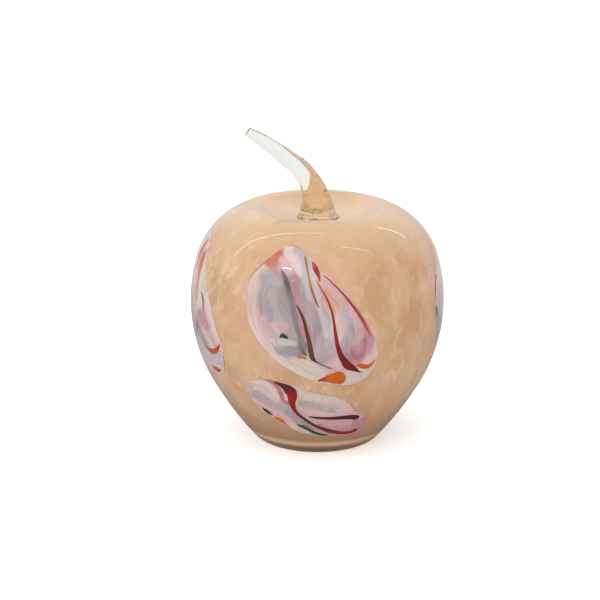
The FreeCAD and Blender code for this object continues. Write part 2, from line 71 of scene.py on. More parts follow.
# What only the looks have, in metres: the casing's uneven face, how pieces lap, lie proud or are sunk
CASING_WAVE = 0.00022
CASING_RIPPLE = 0.00004
CALM_HEIGHTS = (0.004, 0.024)
CALM_RADII = (0.011, 0.019)
LINING_SHARE = 0.4
HOLE_CLEARANCE = 0.0001
COAT_EDGE_RISE = 0.0003
PLUG_CLEARANCE = 0.00005
STEM_SUNK = 0.00015
SHARD_LIFT = 0.00006
SHARD_SUNK = 0.0005
STRAND_LIFT = 0.00010
STRAND_DEPTH = 0.00035
THINNEST_STRAND = 0.003
RAY_START = 0.2
FLOOR_SIZE = 6.0
FLOOR_DROP = 0.0003

# Waves of the casing for each metre, and the steps that each turned piece has round its axis
WAVE_SCALE = 26.0
RIPPLE_SCALE = 70.0
TURNS = {"face": 512, "layer": 256, "lining": 128, "shard": 240, "stem": 72}

# Places on the stem as shares of its length, and how deep its drawn lines are as a share of its radius
STEM_START = 0.06
STEM_RINGS = 130
STREAK_MIDDLE = 0.715
STREAK_REACH = 0.045
STREAK_SPREAD = 0.55
TIP_ROUNDING = 0.985
TIP_RING = 0.992
LINE_DEPTH = 0.018

# How the flows are read: spacing, softness, weight of what lies above or below, and powers of distance
FLOW_SPACING = 0.02
FLOW_SOFTNESS = 0.00008
UPRIGHT_WEIGHT = 0.8
TINT_POWER = 2.3
BAND_POWER = 1.6
# How they sway: the noise's scale across, up and from shard to shard, then the sway across and up
SWAYS = ((4.5, 3.0, 900, 0.035, 0.045), (15, 9, 500, 0.012, 0.016))

WHITE = (1.0, 1.0, 1.0, 1.0)

# Azimuth and tilt in degrees, then height above the aim, width and length in metres
SHARDS = {
    "front": (-3, 3, 0.0107, 0.0584, 0.0626),
    "low": (-7.3, -30, -0.0075, 0.052, 0.039),
    "left": (-81, 4, 0.0067, 0.058, 0.062),
    "right": (97, 3, 0.006, 0.056, 0.050),
    "back": (186, 4, 0.009, 0.052, 0.056),
    "low_back": (170, -30, -0.008, 0.050, 0.034),
}

# Outlines of the shards as shares of width and length from the middle
OUTLINES = {
    "front": [
        (-0.18, 0.5), (-0.05, 0.46), (0.075, 0.355), (0.28, 0.19), (0.42, -0.02),
        (0.5, -0.21), (0.465, -0.385), (0.32, -0.495), (0.075, -0.465), (-0.16, -0.37),
        (-0.385, -0.205), (-0.49, 0.01), (-0.48, 0.25), (-0.355, 0.39),
    ],
    "low": [
        (-0.495, 0.26), (-0.37, 0.455), (-0.15, 0.49), (0.09, 0.385), (0.34, 0.205),
        (0.445, -0.06), (0.5, -0.23), (0.44, -0.495), (0.18, -0.44), (-0.06, -0.335),
        (-0.265, -0.175), (-0.45, 0.03),
    ],
    "left": [
        (-0.14, 0.5), (0.02, 0.465), (0.14, 0.39), (0.28, 0.2), (0.39, 0.06), (0.46, -0.12),
        (0.5, -0.235), (0.46, -0.41), (0.36, -0.49), (0.22, -0.5), (0.0, -0.43), (-0.23, -0.32),
        (-0.42, -0.13), (-0.49, 0.1), (-0.43, 0.33), (-0.3, 0.46),
    ],
    "right": [
        (-0.285, 0.37), (-0.4, 0.31), (-0.48, 0.22), (-0.5, 0.06), (-0.45, -0.12),
        (-0.36, -0.31), (-0.2, -0.46), (0.05, -0.49), (0.3, -0.38), (0.46, -0.16),
        (0.49, 0.1), (0.38, 0.33), (0.15, 0.47), (-0.1, 0.46),
    ],
    "back": [
        (-0.1, 0.5), (0.15, 0.43), (0.36, 0.26), (0.49, 0.02), (0.47, -0.24), (0.3, -0.44),
        (0.05, -0.5), (-0.21, -0.42), (-0.41, -0.24), (-0.49, 0.02), (-0.44, 0.27), (-0.29, 0.44),
    ],
    "low_back": [
        (-0.49, 0.1), (-0.36, 0.38), (-0.12, 0.49), (0.15, 0.41), (0.38, 0.28), (0.49, 0.0),
        (0.43, -0.33), (0.2, -0.47), (-0.08, -0.42), (-0.34, -0.27),
    ],
}

# Strands by shard and colour: shares of width and length along the middle, and half the strand's width
STRANDS = {
    ("front", "red"): [
        [(0.01, 0.4, 0.007), (0.03, 0.365, 0.02), (0.055, 0.32, 0.013), (0.065, 0.28, 0.005)],
        [(0.04, 0.285, 0.004), (0.075, 0.235, 0.007), (0.12, 0.165, 0.007), (0.155, 0.085, 0.008),
         (0.175, 0.0, 0.01), (0.19, -0.09, 0.013), (0.205, -0.18, 0.016), (0.235, -0.26, 0.021),
         (0.275, -0.325, 0.032), (0.315, -0.35, 0.028), (0.355, -0.38, 0.01),
         (0.385, -0.39, 0.004)],
        [(0.1, 0.315, 0.004), (0.155, 0.275, 0.006), (0.23, 0.205, 0.007), (0.305, 0.12, 0.009),
         (0.37, 0.03, 0.01), (0.415, -0.05, 0.009), (0.45, -0.12, 0.005)],
    ],
    ("front", "olive"): [
        [(-0.05, 0.43, 0.008), (-0.038, 0.385, 0.008), (-0.02, 0.31, 0.007), (0.005, 0.23, 0.009),
         (0.03, 0.165, 0.009), (0.06, 0.105, 0.004)],
        [(-0.105, 0.115, 0.004), (-0.08, 0.075, 0.009), (-0.05, 0.01, 0.012),
         (-0.028, -0.075, 0.014), (-0.005, -0.155, 0.016), (0.005, -0.22, 0.02),
         (0.02, -0.275, 0.017), (0.055, -0.303, 0.006), (0.11, -0.332, 0.004),
         (0.155, -0.352, 0.004)],
        [(-0.222, 0.335, 0.01), (-0.2, 0.305, 0.017), (-0.176, 0.255, 0.015),
         (-0.152, 0.19, 0.01), (-0.128, 0.13, 0.004)],
        [(-0.095, -0.135, 0.004), (-0.072, -0.187, 0.008), (-0.044, -0.23, 0.008),
         (-0.03, -0.25, 0.004)],
    ],
    ("front", "orange"): [
        [(0.06, -0.448, 0.006), (0.11, -0.436, 0.022), (0.16, -0.43, 0.045),
         (0.21, -0.425, 0.058)],
        [(0.362, -0.335, 0.016), (0.395, -0.347, 0.02), (0.43, -0.35, 0.017),
         (0.46, -0.332, 0.011), (0.48, -0.31, 0.005)],
        [(-0.095, -0.272, 0.004), (-0.062, -0.264, 0.011), (-0.035, -0.274, 0.008)],
    ],
    ("front", "green"): [
        [(-0.228, -0.123, 0.006), (-0.209, -0.11, 0.019), (-0.187, -0.118, 0.013),
         (-0.168, -0.13, 0.004)],
    ],
    ("low", "red"): [
        [(-0.235, 0.465, 0.01), (-0.19, 0.455, 0.02), (-0.14, 0.425, 0.04), (-0.102, 0.37, 0.052),
         (-0.09, 0.3, 0.044), (-0.095, 0.215, 0.032), (-0.083, 0.107, 0.021),
         (-0.046, -0.005, 0.017), (0.002, -0.08, 0.016), (0.05, -0.152, 0.016),
         (0.1, -0.22, 0.017), (0.17, -0.295, 0.025), (0.235, -0.36, 0.025),
         (0.305, -0.415, 0.025), (0.365, -0.445, 0.024), (0.405, -0.43, 0.022)],
        [(0.05, -0.033, 0.009), (0.123, -0.057, 0.016), (0.223, -0.083, 0.02),
         (0.323, -0.108, 0.026), (0.395, -0.142, 0.032), (0.425, -0.165, 0.032)],
    ],
    ("low", "orange"): [
        [(-0.262, -0.122, 0.01), (-0.236, -0.142, 0.024), (-0.203, -0.175, 0.022),
         (-0.165, -0.233, 0.01), (-0.13, -0.27, 0.004)],
    ],
    ("low", "green"): [
        [(-0.362, -0.02, 0.01), (-0.337, -0.045, 0.022), (-0.31, -0.075, 0.02),
         (-0.285, -0.095, 0.009)],
        [(-0.065, -0.195, 0.009), (-0.015, -0.235, 0.022), (0.025, -0.28, 0.02),
         (0.072, -0.345, 0.017), (0.12, -0.385, 0.015), (0.165, -0.41, 0.009)],
    ],
    ("left", "orange"): [
        [(0.015, 0.43, 0.014), (-0.005, 0.4, 0.034), (-0.012, 0.35, 0.042),
         (-0.005, 0.29, 0.034), (0.02, 0.22, 0.012)],
        [(0.1, 0.375, 0.017), (0.1, 0.335, 0.037), (0.102, 0.28, 0.04), (0.112, 0.21, 0.027),
         (0.13, 0.13, 0.018), (0.15, 0.03, 0.009)],
        [(0.28, -0.288, 0.009), (0.305, -0.305, 0.018), (0.36, -0.305, 0.022),
         (0.42, -0.28, 0.018), (0.455, -0.25, 0.013), (0.475, -0.222, 0.006)],
    ],
    ("left", "red"): [
        [(-0.18, 0.33, 0.008), (-0.13, 0.17, 0.014), (-0.1, 0.0, 0.01), (-0.05, -0.16, 0.018),
         (0.05, -0.28, 0.01)],
        [(0.27, -0.445, 0.008), (0.32, -0.448, 0.022), (0.365, -0.445, 0.013),
         (0.39, -0.435, 0.006)],
    ],
    ("left", "olive"): [
        [(0.235, 0.1, 0.007), (0.27, 0.065, 0.016), (0.285, 0.02, 0.013), (0.295, -0.03, 0.006)],
        [(0.155, -0.13, 0.007), (0.15, -0.17, 0.016), (0.13, -0.21, 0.008)],
    ],
    ("right", "red"): [
        [(-0.37, 0.305, 0.008), (-0.415, 0.265, 0.014), (-0.447, 0.21, 0.014),
         (-0.465, 0.145, 0.01), (-0.47, 0.1, 0.005)],
        [(-0.05, 0.34, 0.01), (0.02, 0.16, 0.016), (0.05, -0.04, 0.011), (0.13, -0.24, 0.02),
         (0.2, -0.33, 0.008)],
    ],
    ("right", "olive"): [
        [(-0.46, 0.045, 0.008), (-0.455, -0.007, 0.02), (-0.43, -0.06, 0.016),
         (-0.41, -0.105, 0.007)],
    ],
    ("right", "orange"): [
        [(-0.22, -0.3, 0.01), (-0.12, -0.36, 0.024), (0.0, -0.38, 0.012)],
    ],
    ("back", "red"): [
        [(-0.12, 0.4, 0.012), (-0.06, 0.27, 0.02), (0.02, 0.09, 0.01), (0.06, -0.1, 0.014),
         (0.15, -0.26, 0.026), (0.22, -0.34, 0.008)],
    ],
    ("back", "orange"): [
        [(-0.12, -0.36, 0.01), (0.0, -0.41, 0.03), (0.1, -0.42, 0.01)],
    ],
    ("back", "green"): [
        [(-0.32, -0.05, 0.008), (-0.27, -0.11, 0.018), (-0.21, -0.16, 0.008)],
    ],
    ("low_back", "red"): [
        [(-0.27, 0.25, 0.01), (-0.14, 0.21, 0.03), (-0.02, 0.08, 0.014), (0.1, -0.05, 0.016),
         (0.25, -0.16, 0.008)],
    ],
    ("low_back", "green"): [
        [(-0.17, -0.2, 0.008), (-0.05, -0.26, 0.02), (0.07, -0.32, 0.008)],
    ],
}

# Colours along each strand, in the order of its runs
STRAND_TONES = {
    ("front", "red"): [
        ("coral", "rust", "coral"), ("amber", "rust", "rust", "blood", "blood", "garnet"),
        ("coral", "rust", "coral"),
    ],
    ("front", "olive"): [
        ("gold", "gold", "bronze"), ("umber", "umber", "umber", "soot"),
        ("taupe", "smoke", "taupe"), ("taupe", "soot"),
    ],
    ("front", "orange"): [
        ("rust", "flame", "flame"), ("flame", "flame", "tangerine"), ("tangerine", "flame"),
    ],
    ("front", "green"): [("fern", "leaf")],
    ("low", "red"): [
        ("umber", "garnet", "ruby", "ruby", "blood", "garnet", "blood", "ruby", "blood"),
        ("garnet", "maroon"),
    ],
    ("low", "orange"): [("tangerine", "flame")],
    ("low", "green"): [("leaf", "leaf"), ("fern", "leaf")],
    ("left", "orange"): [("flame", "flame"), ("flame", "flame", "amber"), ("bronze", "flame", "rust")],
    ("left", "red"): [("rust", "blood", "rust"), ("coral", "rust")],
    ("left", "olive"): [("smoke", "taupe"), ("smoke", "smoke")],
    ("right", "red"): [("rust", "coral"), ("rust", "blood", "garnet")],
    ("right", "olive"): [("smoke", "taupe")],
    ("right", "orange"): [("flame", "tangerine")],
    ("back", "red"): [("coral", "rust", "blood", "garnet")],
    ("back", "orange"): [("flame", "tangerine")],
    ("back", "green"): [("fern", "leaf")],
    ("low_back", "red"): [("garnet", "blood", "rust")],
    ("low_back", "green"): [("fern", "leaf")],
}
TONES = {
    "coral": (0.78, 0.36, 0.30), "rust": (0.68, 0.17, 0.06), "blood": (0.50, 0.0, 0.0),
    "ruby": (0.62, 0.0, 0.01), "garnet": (0.34, 0.0, 0.03), "maroon": (0.28, 0.0, 0.04),
    "amber": (0.84, 0.50, 0.33),
    "gold": (0.72, 0.50, 0.20), "bronze": (0.50, 0.34, 0.10), "umber": (0.38, 0.22, 0.08),
    "soot": (0.24, 0.18, 0.13), "smoke": (0.42, 0.39, 0.39), "taupe": (0.58, 0.53, 0.52),
    "tangerine": (0.86, 0.45, 0.04), "flame": (0.82, 0.38, 0.0),
    "leaf": (0.04, 0.26, 0.11), "fern": (0.12, 0.36, 0.18),
}

# Colours of the glass, as they are written for a screen
COLOURS = {
    "shell": (0.91, 0.80, 0.77), "cream": (0.88, 0.81, 0.76), "blush": (0.80, 0.50, 0.40),
    "ash": (0.715, 0.67, 0.67), "lilac": (0.72, 0.655, 0.675), "stone": (0.52, 0.49, 0.49),
    "petal": (0.875, 0.725, 0.725), "rose": (0.80, 0.57, 0.61), "mauve": (0.71, 0.62, 0.645),
    "mist": (0.81, 0.77, 0.77), "dusk": (0.64, 0.59, 0.63), "plum": (0.76, 0.46, 0.53),
    "amber": (0.87, 0.66, 0.57), "sky": (0.76, 0.74, 0.77),
}

# Painted light in the coat: the "low" tone is painted shade towards the base, the "foot" tone is painted
# light at the very base where light comes in through the clear foot, and the tone for the top is a painted
# sheen from the overhead light.
PEACH = {
    "pale": (0.866, 0.703, 0.562), "deep": (0.814, 0.632, 0.482), "fleck": (0.905, 0.775, 0.645),
    "low": (0.69, 0.535, 0.405), "foot": (0.97, 0.82, 0.68), "painted_top_sheen": (0.836, 0.706, 0.550),
    "stroke": (0.915, 0.800, 0.670),
}
MARBLE = {
    "drift": (0.84, 0.78, 0.80), "thread": (0.58, 0.40, 0.38), "milk": (0.90, 0.86, 0.84),
    "edge": (0.58, 0.36, 0.26),
}

# How the colours of a shard flow: a colour, its place across the flow, and points that it passes through
FLOWS = {
    "front": [
        ("shell", 0.0, [(-0.36, 0.36), (-0.44, 0.28), (-0.475, 0.15), (-0.47, 0.02), (-0.41, -0.13),
                        (-0.33, -0.22)]),
        ("cream", 0.04, [(-0.37, -0.19), (-0.24, -0.3), (-0.1, -0.38), (0.04, -0.43)]),
        ("blush", 0.1, [(-0.34, 0.385), (-0.29, 0.42), (-0.25, 0.46)]),
        ("ash", 0.18, [(-0.36, 0.28), (-0.3, 0.3), (-0.24, 0.27)]),
        ("lilac", 0.2, [(-0.36, 0.14), (-0.32, 0.09), (-0.29, 0.02)]),
        ("ash", 0.25, [(-0.27, 0.22), (-0.25, 0.08), (-0.22, -0.01)]),
        ("ash", 0.29, [(-0.232, 0.24), (-0.205, 0.15), (-0.18, 0.05), (-0.155, -0.05), (-0.12, -0.14)]),
        ("petal", 0.22, [(-0.35, -0.03), (-0.32, -0.09), (-0.28, -0.14)]),
        ("petal", 0.27, [(-0.24, -0.02), (-0.19, -0.05)]),
        ("mist", 0.24, [(-0.24, -0.17), (-0.17, -0.17), (-0.12, -0.15)]),
        ("dusk", 0.2, [(-0.23, -0.22), (-0.16, -0.215), (-0.1, -0.21)]),
        ("cream", 0.12, [(-0.14, -0.31), (-0.03, -0.35), (0.09, -0.39)]),
        ("stone", 0.33, [(-0.2, 0.27), (-0.175, 0.18), (-0.15, 0.08), (-0.125, -0.02), (-0.095, -0.12),
                         (-0.065, -0.2)]),
        ("mauve", 0.42, [(-0.14, 0.3), (-0.1, 0.19), (-0.07, 0.09), (-0.045, -0.01)]),
        ("rose", 0.38, [(-0.165, 0.26), (-0.13, 0.165), (-0.1, 0.08), (-0.077, -0.02), (-0.05, -0.12)]),
        ("petal", 0.42, [(-0.235, 0.43), (-0.19, 0.37)]),
        ("shell", 0.44, [(-0.19, 0.47), (-0.14, 0.41), (-0.11, 0.33)]),
        ("mist", 0.46, [(-0.12, 0.48), (-0.08, 0.4), (-0.055, 0.27)]),
        ("lilac", 0.45, [(-0.11, 0.24), (-0.07, 0.17), (-0.04, 0.08), (-0.01, -0.02)]),
        ("sky", 0.5, [(-0.04, 0.24), (-0.02, 0.19)]),
        ("mauve", 0.52, [(0.02, 0.1), (0.06, 0.04), (0.08, -0.05), (0.05, -0.16)]),
        ("lilac", 0.56, [(0.06, -0.12), (0.1, -0.22), (0.1, -0.29)]),
        ("mauve", 0.6, [(0.15, -0.14), (0.15, -0.22)]),
        ("petal", 0.6, [(0.15, -0.31), (0.19, -0.33)]),
        ("mist", 0.6, [(0.0, 0.37), (0.02, 0.28), (0.06, 0.19), (0.1, 0.09), (0.13, 0.0), (0.14, -0.08)]),
        ("amber", 0.7, [(0.09, 0.27), (0.14, 0.2), (0.18, 0.1)]),
        ("petal", 0.7, [(0.2, 0.03), (0.215, -0.1)]),
        ("petal", 0.76, [(0.1, 0.315), (0.17, 0.22), (0.24, 0.12), (0.27, 0.02)]),
        ("mauve", 0.8, [(0.26, 0.04), (0.27, -0.06), (0.27, -0.16), (0.27, -0.23)]),
        ("petal", 0.84, [(0.31, 0.06), (0.34, -0.03), (0.35, -0.11)]),
        ("rose", 0.9, [(0.33, 0.06), (0.4, -0.04), (0.43, -0.14), (0.44, -0.22)]),
        ("plum", 0.86, [(0.3, -0.2), (0.33, -0.24), (0.38, -0.22), (0.39, -0.15)]),
        ("shell", 0.96, [(0.48, -0.18), (0.485, -0.26), (0.47, -0.33)]),
        ("cream", 0.97, [(0.3, -0.44), (0.38, -0.42), (0.45, -0.39)]),
    ],
    "low": [
        ("cream", 0.0, [(-0.46, 0.26), (-0.38, 0.32), (-0.3, 0.26), (-0.24, 0.18)]),
        ("shell", 0.1, [(-0.4, 0.4), (-0.33, 0.42), (-0.27, 0.33), (-0.22, 0.22)]),
        ("lilac", 0.16, [(-0.47, 0.29), (-0.36, 0.19), (-0.26, 0.1), (-0.14, 0.0), (-0.04, -0.12)]),
        ("petal", 0.05, [(-0.44, 0.1), (-0.36, 0.04), (-0.26, -0.04), (-0.16, -0.12)]),
        ("plum", 0.28, [(-0.307, 0.46), (-0.246, 0.42), (-0.205, 0.35), (-0.183, 0.25), (-0.16, 0.17)]),
        ("shell", 0.33, [(-0.19, 0.39), (-0.16, 0.32), (-0.15, 0.24)]),
        ("sky", 0.3, [(-0.17, 0.14), (-0.15, 0.1)]),
        ("mauve", 0.36, [(-0.14, 0.04), (-0.07, -0.08), (0.0, -0.17), (0.06, -0.25)]),
        ("shell", 0.1, [(-0.14, -0.22), (-0.08, -0.27), (0.0, -0.33)]),
        ("cream", 0.6, [(-0.02, 0.36), (0.08, 0.26), (0.2, 0.16), (0.3, 0.08)]),
        ("petal", 0.66, [(-0.04, 0.12), (0.04, 0.05), (0.16, 0.0), (0.3, -0.05)]),
        ("ash", 0.7, [(0.0, 0.2), (0.12, 0.12), (0.24, 0.05)]),
        ("shell", 0.75, [(0.2, 0.24), (0.3, 0.17), (0.38, 0.04)]),
        ("petal", 0.5, [(0.06, -0.09), (0.16, -0.14), (0.28, -0.19), (0.38, -0.23)]),
        ("rose", 0.46, [(0.13, -0.2), (0.22, -0.27), (0.32, -0.33)]),
        ("rose", 0.9, [(0.455, -0.24), (0.47, -0.32), (0.44, -0.42)]),
        ("petal", 0.95, [(0.45, -0.1), (0.485, -0.2)]),
    ],
    "left": [
        ("shell", 0.0, [(0.05, 0.45), (0.1, 0.42), (0.17, 0.33), (0.22, 0.24)]),
        ("cream", 0.5, [(-0.1, 0.46), (-0.08, 0.36), (-0.07, 0.26), (-0.02, 0.14)]),
        ("petal", 0.2, [(0.045, 0.36), (0.055, 0.26), (0.07, 0.14), (0.09, 0.02)]),
        ("cream", 0.15, [(0.17, 0.25), (0.19, 0.14), (0.2, 0.06), (0.17, -0.02)]),
        ("rose", 0.3, [(0.2, -0.05), (0.28, -0.06), (0.33, -0.1)]),
        ("shell", 0.1, [(0.31, 0.12), (0.37, 0.0), (0.42, -0.12), (0.46, -0.2)]),
        ("lilac", 0.35, [(0.18, -0.17), (0.22, -0.22), (0.27, -0.26)]),
        ("cream", 0.25, [(0.27, -0.18), (0.33, -0.22), (0.38, -0.26)]),
        ("petal", 0.28, [(0.38, -0.18), (0.41, -0.23)]),
        ("mist", 0.4, [(0.03, -0.22), (0.1, -0.32), (0.18, -0.4)]),
        ("mist", 0.3, [(0.28, -0.36), (0.36, -0.38), (0.43, -0.34)]),
        ("shell", 0.2, [(0.4, -0.46), (0.24, -0.48)]),
        ("lilac", 0.7, [(-0.2, 0.34), (-0.22, 0.1), (-0.18, -0.1), (-0.08, -0.3)]),
        ("rose", 0.55, [(-0.1, 0.24), (-0.08, 0.02), (0.0, -0.14), (0.08, -0.24)]),
        ("cream", 0.9, [(-0.4, 0.26), (-0.44, 0.06), (-0.36, -0.16), (-0.18, -0.32)]),
        ("ash", 0.8, [(-0.32, 0.16), (-0.3, -0.02), (-0.22, -0.18)]),
    ],
    "right": [
        ("shell", 0.05, [(-0.28, 0.36), (-0.34, 0.33), (-0.39, 0.27)]),
        ("petal", 0.1, [(-0.38, 0.24), (-0.42, 0.14), (-0.42, 0.09)]),
        ("mist", 0.2, [(-0.34, 0.14), (-0.38, 0.05), (-0.36, -0.04)]),
        ("lilac", 0.25, [(-0.41, -0.02), (-0.36, -0.14), (-0.28, -0.28)]),
        ("cream", 0.4, [(-0.22, 0.34), (-0.24, 0.12), (-0.18, -0.12), (-0.08, -0.34)]),
        ("lilac", 0.5, [(-0.1, 0.3), (-0.06, 0.06), (0.0, -0.16), (0.08, -0.34)]),
        ("petal", 0.7, [(0.1, 0.36), (0.14, 0.1), (0.2, -0.12), (0.26, -0.28)]),
        ("cream", 0.95, [(0.28, 0.34), (0.42, 0.12), (0.42, -0.12)]),
        ("mauve", 0.8, [(0.24, 0.24), (0.3, 0.04), (0.32, -0.16)]),
    ],
    "back": [
        ("shell", 0.0, [(-0.44, 0.2), (-0.44, -0.06), (-0.34, -0.28), (-0.16, -0.42)]),
        ("lilac", 0.25, [(-0.3, 0.34), (-0.28, 0.06), (-0.18, -0.24)]),
        ("stone", 0.34, [(-0.2, 0.32), (-0.18, 0.12)]),
        ("mist", 0.4, [(-0.14, 0.44), (-0.12, 0.12), (-0.06, -0.16), (0.04, -0.38)]),
        ("rose", 0.5, [(-0.06, 0.22), (-0.02, 0.02), (0.02, -0.16)]),
        ("amber", 0.6, [(0.0, 0.3), (0.08, 0.06), (0.14, -0.16)]),
        ("petal", 0.7, [(0.12, 0.34), (0.2, 0.08), (0.26, -0.2)]),
        ("plum", 0.8, [(0.34, 0.06), (0.36, -0.1)]),
        ("cream", 0.95, [(0.3, 0.28), (0.44, 0.02), (0.4, -0.26), (0.2, -0.44)]),
    ],
    "low_back": [
        ("cream", 0.0, [(-0.42, 0.1), (-0.3, -0.16), (-0.06, -0.36)]),
        ("plum", 0.3, [(-0.3, 0.36), (-0.2, 0.28)]),
        ("petal", 0.45, [(-0.1, 0.36), (0.02, 0.12), (0.2, -0.06)]),
        ("mauve", 0.4, [(-0.16, 0.08), (0.0, -0.1), (0.16, -0.26)]),
        ("mist", 0.7, [(0.1, 0.34), (0.22, 0.14), (0.36, 0.0)]),
        ("shell", 0.9, [(0.36, 0.2), (0.44, -0.06), (0.36, -0.3)]),
    ],
}


def linear(colour):
    """A screen colour as light, with a fourth value of one."""
    return tuple(c / 12.92 if c < 0.04045 else ((c + 0.055) / 1.055) ** 2.4 for c in colour) + (1.0,)


# Shapes

def share_of(value, low, high):
    """The share of the way from one number to another, held between nought and one."""
    return min(1.0, max(0.0, (value - low) / (high - low)))


def arc(points, centre, radius, start, end, steps):
    """Adds the points of a circle's arc after the first one."""
    for step in range(1, steps + 1):
        angle = start + (end - start) * step / steps
        points.append((centre[0] + radius * math.cos(angle), centre[1] + radius * math.sin(angle)))


def bearing(centre, point):
    """The angle at which a point is seen from a centre."""
    return math.atan2(point[1] - centre[1], point[0] - centre[0])


def layer_section(inset, base, corner_radius):
    """Half the section of a layer's outer face, from the middle of its base round to the dimple's middle."""
    belly = (BODY_RADIUS - BELLY_ARC_RADIUS, BELLY_HEIGHT)
    reach = FLANK_ARC_RADIUS - BELLY_ARC_RADIUS
    flank = (belly[0] - reach * math.cos(FLANK_ANGLE), belly[1] + reach * math.sin(FLANK_ANGLE))
    reach = BELLY_ARC_RADIUS - SHOULDER_ARC_RADIUS
    shoulder = (belly[0] + reach * math.cos(SHOULDER_ANGLE), belly[1] + reach * math.sin(SHOULDER_ANGLE))
    reach = SHOULDER_ARC_RADIUS - LIP_ARC_RADIUS
    lip = (RIM_RADIUS, shoulder[1] + math.sqrt(reach ** 2 - (RIM_RADIUS - shoulder[0]) ** 2))
    sphere = (RIM_RADIUS ** 2 + DIMPLE_DEPTH ** 2) / (2 * DIMPLE_DEPTH)
    dimple = (0.0, lip[1] - DIMPLE_DEPTH + sphere)
    flank_radius = FLANK_ARC_RADIUS - inset
    height = base + corner_radius
    drop = flank[1] - height
    corner = (flank[0] + math.sqrt((flank_radius - corner_radius) ** 2 - drop ** 2), height)
    points = [(0.0, base)]
    points += [(corner[0] * share / 6, base) for share in range(1, 7)]
    corner_end = bearing(flank, corner)
    arc(points, corner, corner_radius, -math.pi / 2, corner_end, 14)
    arc(points, flank, flank_radius, corner_end, -FLANK_ANGLE, 20)
    arc(points, belly, BELLY_ARC_RADIUS - inset, -FLANK_ANGLE, SHOULDER_ANGLE, 40)
    lip_start = bearing(shoulder, lip)
    arc(points, shoulder, SHOULDER_ARC_RADIUS - inset, SHOULDER_ANGLE, lip_start, 34)
    lip_end = bearing(lip, dimple)
    arc(points, lip, LIP_ARC_RADIUS - inset, lip_start, lip_end, 26)
    arc(points, dimple, sphere - LIP_ARC_RADIUS + inset, bearing(dimple, lip), -math.pi / 2, 24)
    points[-1] = (0.0, points[-1][1])
    return points


TOP_OF_DIMPLE = layer_section(0.0, 0.0, FOOT_ROUND_RADIUS)[-1][1]
DIMPLE_ARC_RADIUS = (RIM_RADIUS ** 2 + DIMPLE_DEPTH ** 2) / (2 * DIMPLE_DEPTH) - LIP_ARC_RADIUS


def dimple_height(radius):
    """Height of the casing's face in the dimple, at a distance from the axis."""
    return TOP_OF_DIMPLE + DIMPLE_ARC_RADIUS - math.sqrt(DIMPLE_ARC_RADIUS ** 2 - radius ** 2)


def lathe(shape, section, turns):
    """Spins a section round the axis into the shape and closes it at the axis."""
    rings = [shape.verts.new((radius, 0.0, height)) for radius, height in section]
    edges = [shape.edges.new(pair) for pair in zip(rings[:-1], rings[1:])]
    bmesh.ops.spin(
        shape, geom=rings + edges, cent=(0, 0, 0), axis=(0, 0, 1), dvec=(0, 0, 0),
        angle=2 * math.pi, steps=turns, use_merge=True, use_duplicate=False,
    )
    bmesh.ops.remove_doubles(shape, verts=shape.verts, dist=1e-7)


def finished(shape, name, material, nodes):
    """Makes the shape a piece of the object that stands for its CAD nodes."""
    bmesh.ops.recalc_face_normals(shape, faces=shape.faces)
    for face in shape.faces:
        face.smooth = True
    mesh = bpy.data.meshes.new(name)
    shape.to_mesh(mesh)
    shape.free()
    mesh.materials.append(material)
    piece = bpy.data.objects.new(name, mesh)
    bpy.context.scene.collection.objects.link(piece)
    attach(piece, "root")
    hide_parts(*nodes)
    return piece


def through_points(points, share, closed=False):
    """A place on the smooth curve that goes through the points, for a share of the way along it."""
    count = len(points)
    spans = count if closed else count - 1
    along = min(max(share, 0.0), 1.0) * spans
    first = min(int(along), spans - 1)
    rest = along - first

    def pick(index):
        if closed:
            return points[index % count]
        return points[min(max(index, 0), count - 1)]

    four = (pick(first + step) for step in (-1, 0, 1, 2))
    return tuple(
        b + 0.5 * rest * (c - a + rest * (2 * a - 5 * b + 4 * c - d + rest * (3 * (b - c) + d - a)))
        for a, b, c, d in zip(*four)
    )


# The coat's face, which the shards and strands are laid on
coat_section = layer_section(CASING_THICKNESS, CASING_BASE_THICKNESS, LAYER_FOOT_RADIUS)
fine_coat = bmesh.new()
lathe(fine_coat, coat_section, TURNS["face"])
bmesh.ops.recalc_face_normals(fine_coat, faces=fine_coat.faces)
coat_face = BVHTree.FromBMesh(fine_coat)
fine_coat.free()


def shard_axes(shard):
    """Where a shard's own flat sheet is: the directions across, up and out."""
    azimuth, tilt = map(math.radians, SHARDS[shard][:2])
    across = Vector((math.cos(azimuth), math.sin(azimuth), 0.0))
    up = Vector((-math.sin(azimuth) * math.sin(tilt), math.cos(azimuth) * math.sin(tilt), math.cos(tilt)))
    out = Vector((math.sin(azimuth) * math.cos(tilt), -math.cos(azimuth) * math.cos(tilt), math.sin(tilt)))
    return across, up, out


def laid(shard, across_share, up_share, lift):
    """A place on the coat's face under a place of the shard's flat sheet, lifted off the face."""
    across, up, out = shard_axes(shard)
    height, width, length = SHARDS[shard][2:]
    flat = Vector((0, 0, SHARD_AIM_HEIGHT)) + across * across_share * width
    flat += up * (height + up_share * length)
    place, normal = coat_face.ray_cast(flat + out * RAY_START, -out)[:2]
    return place + normal * lift


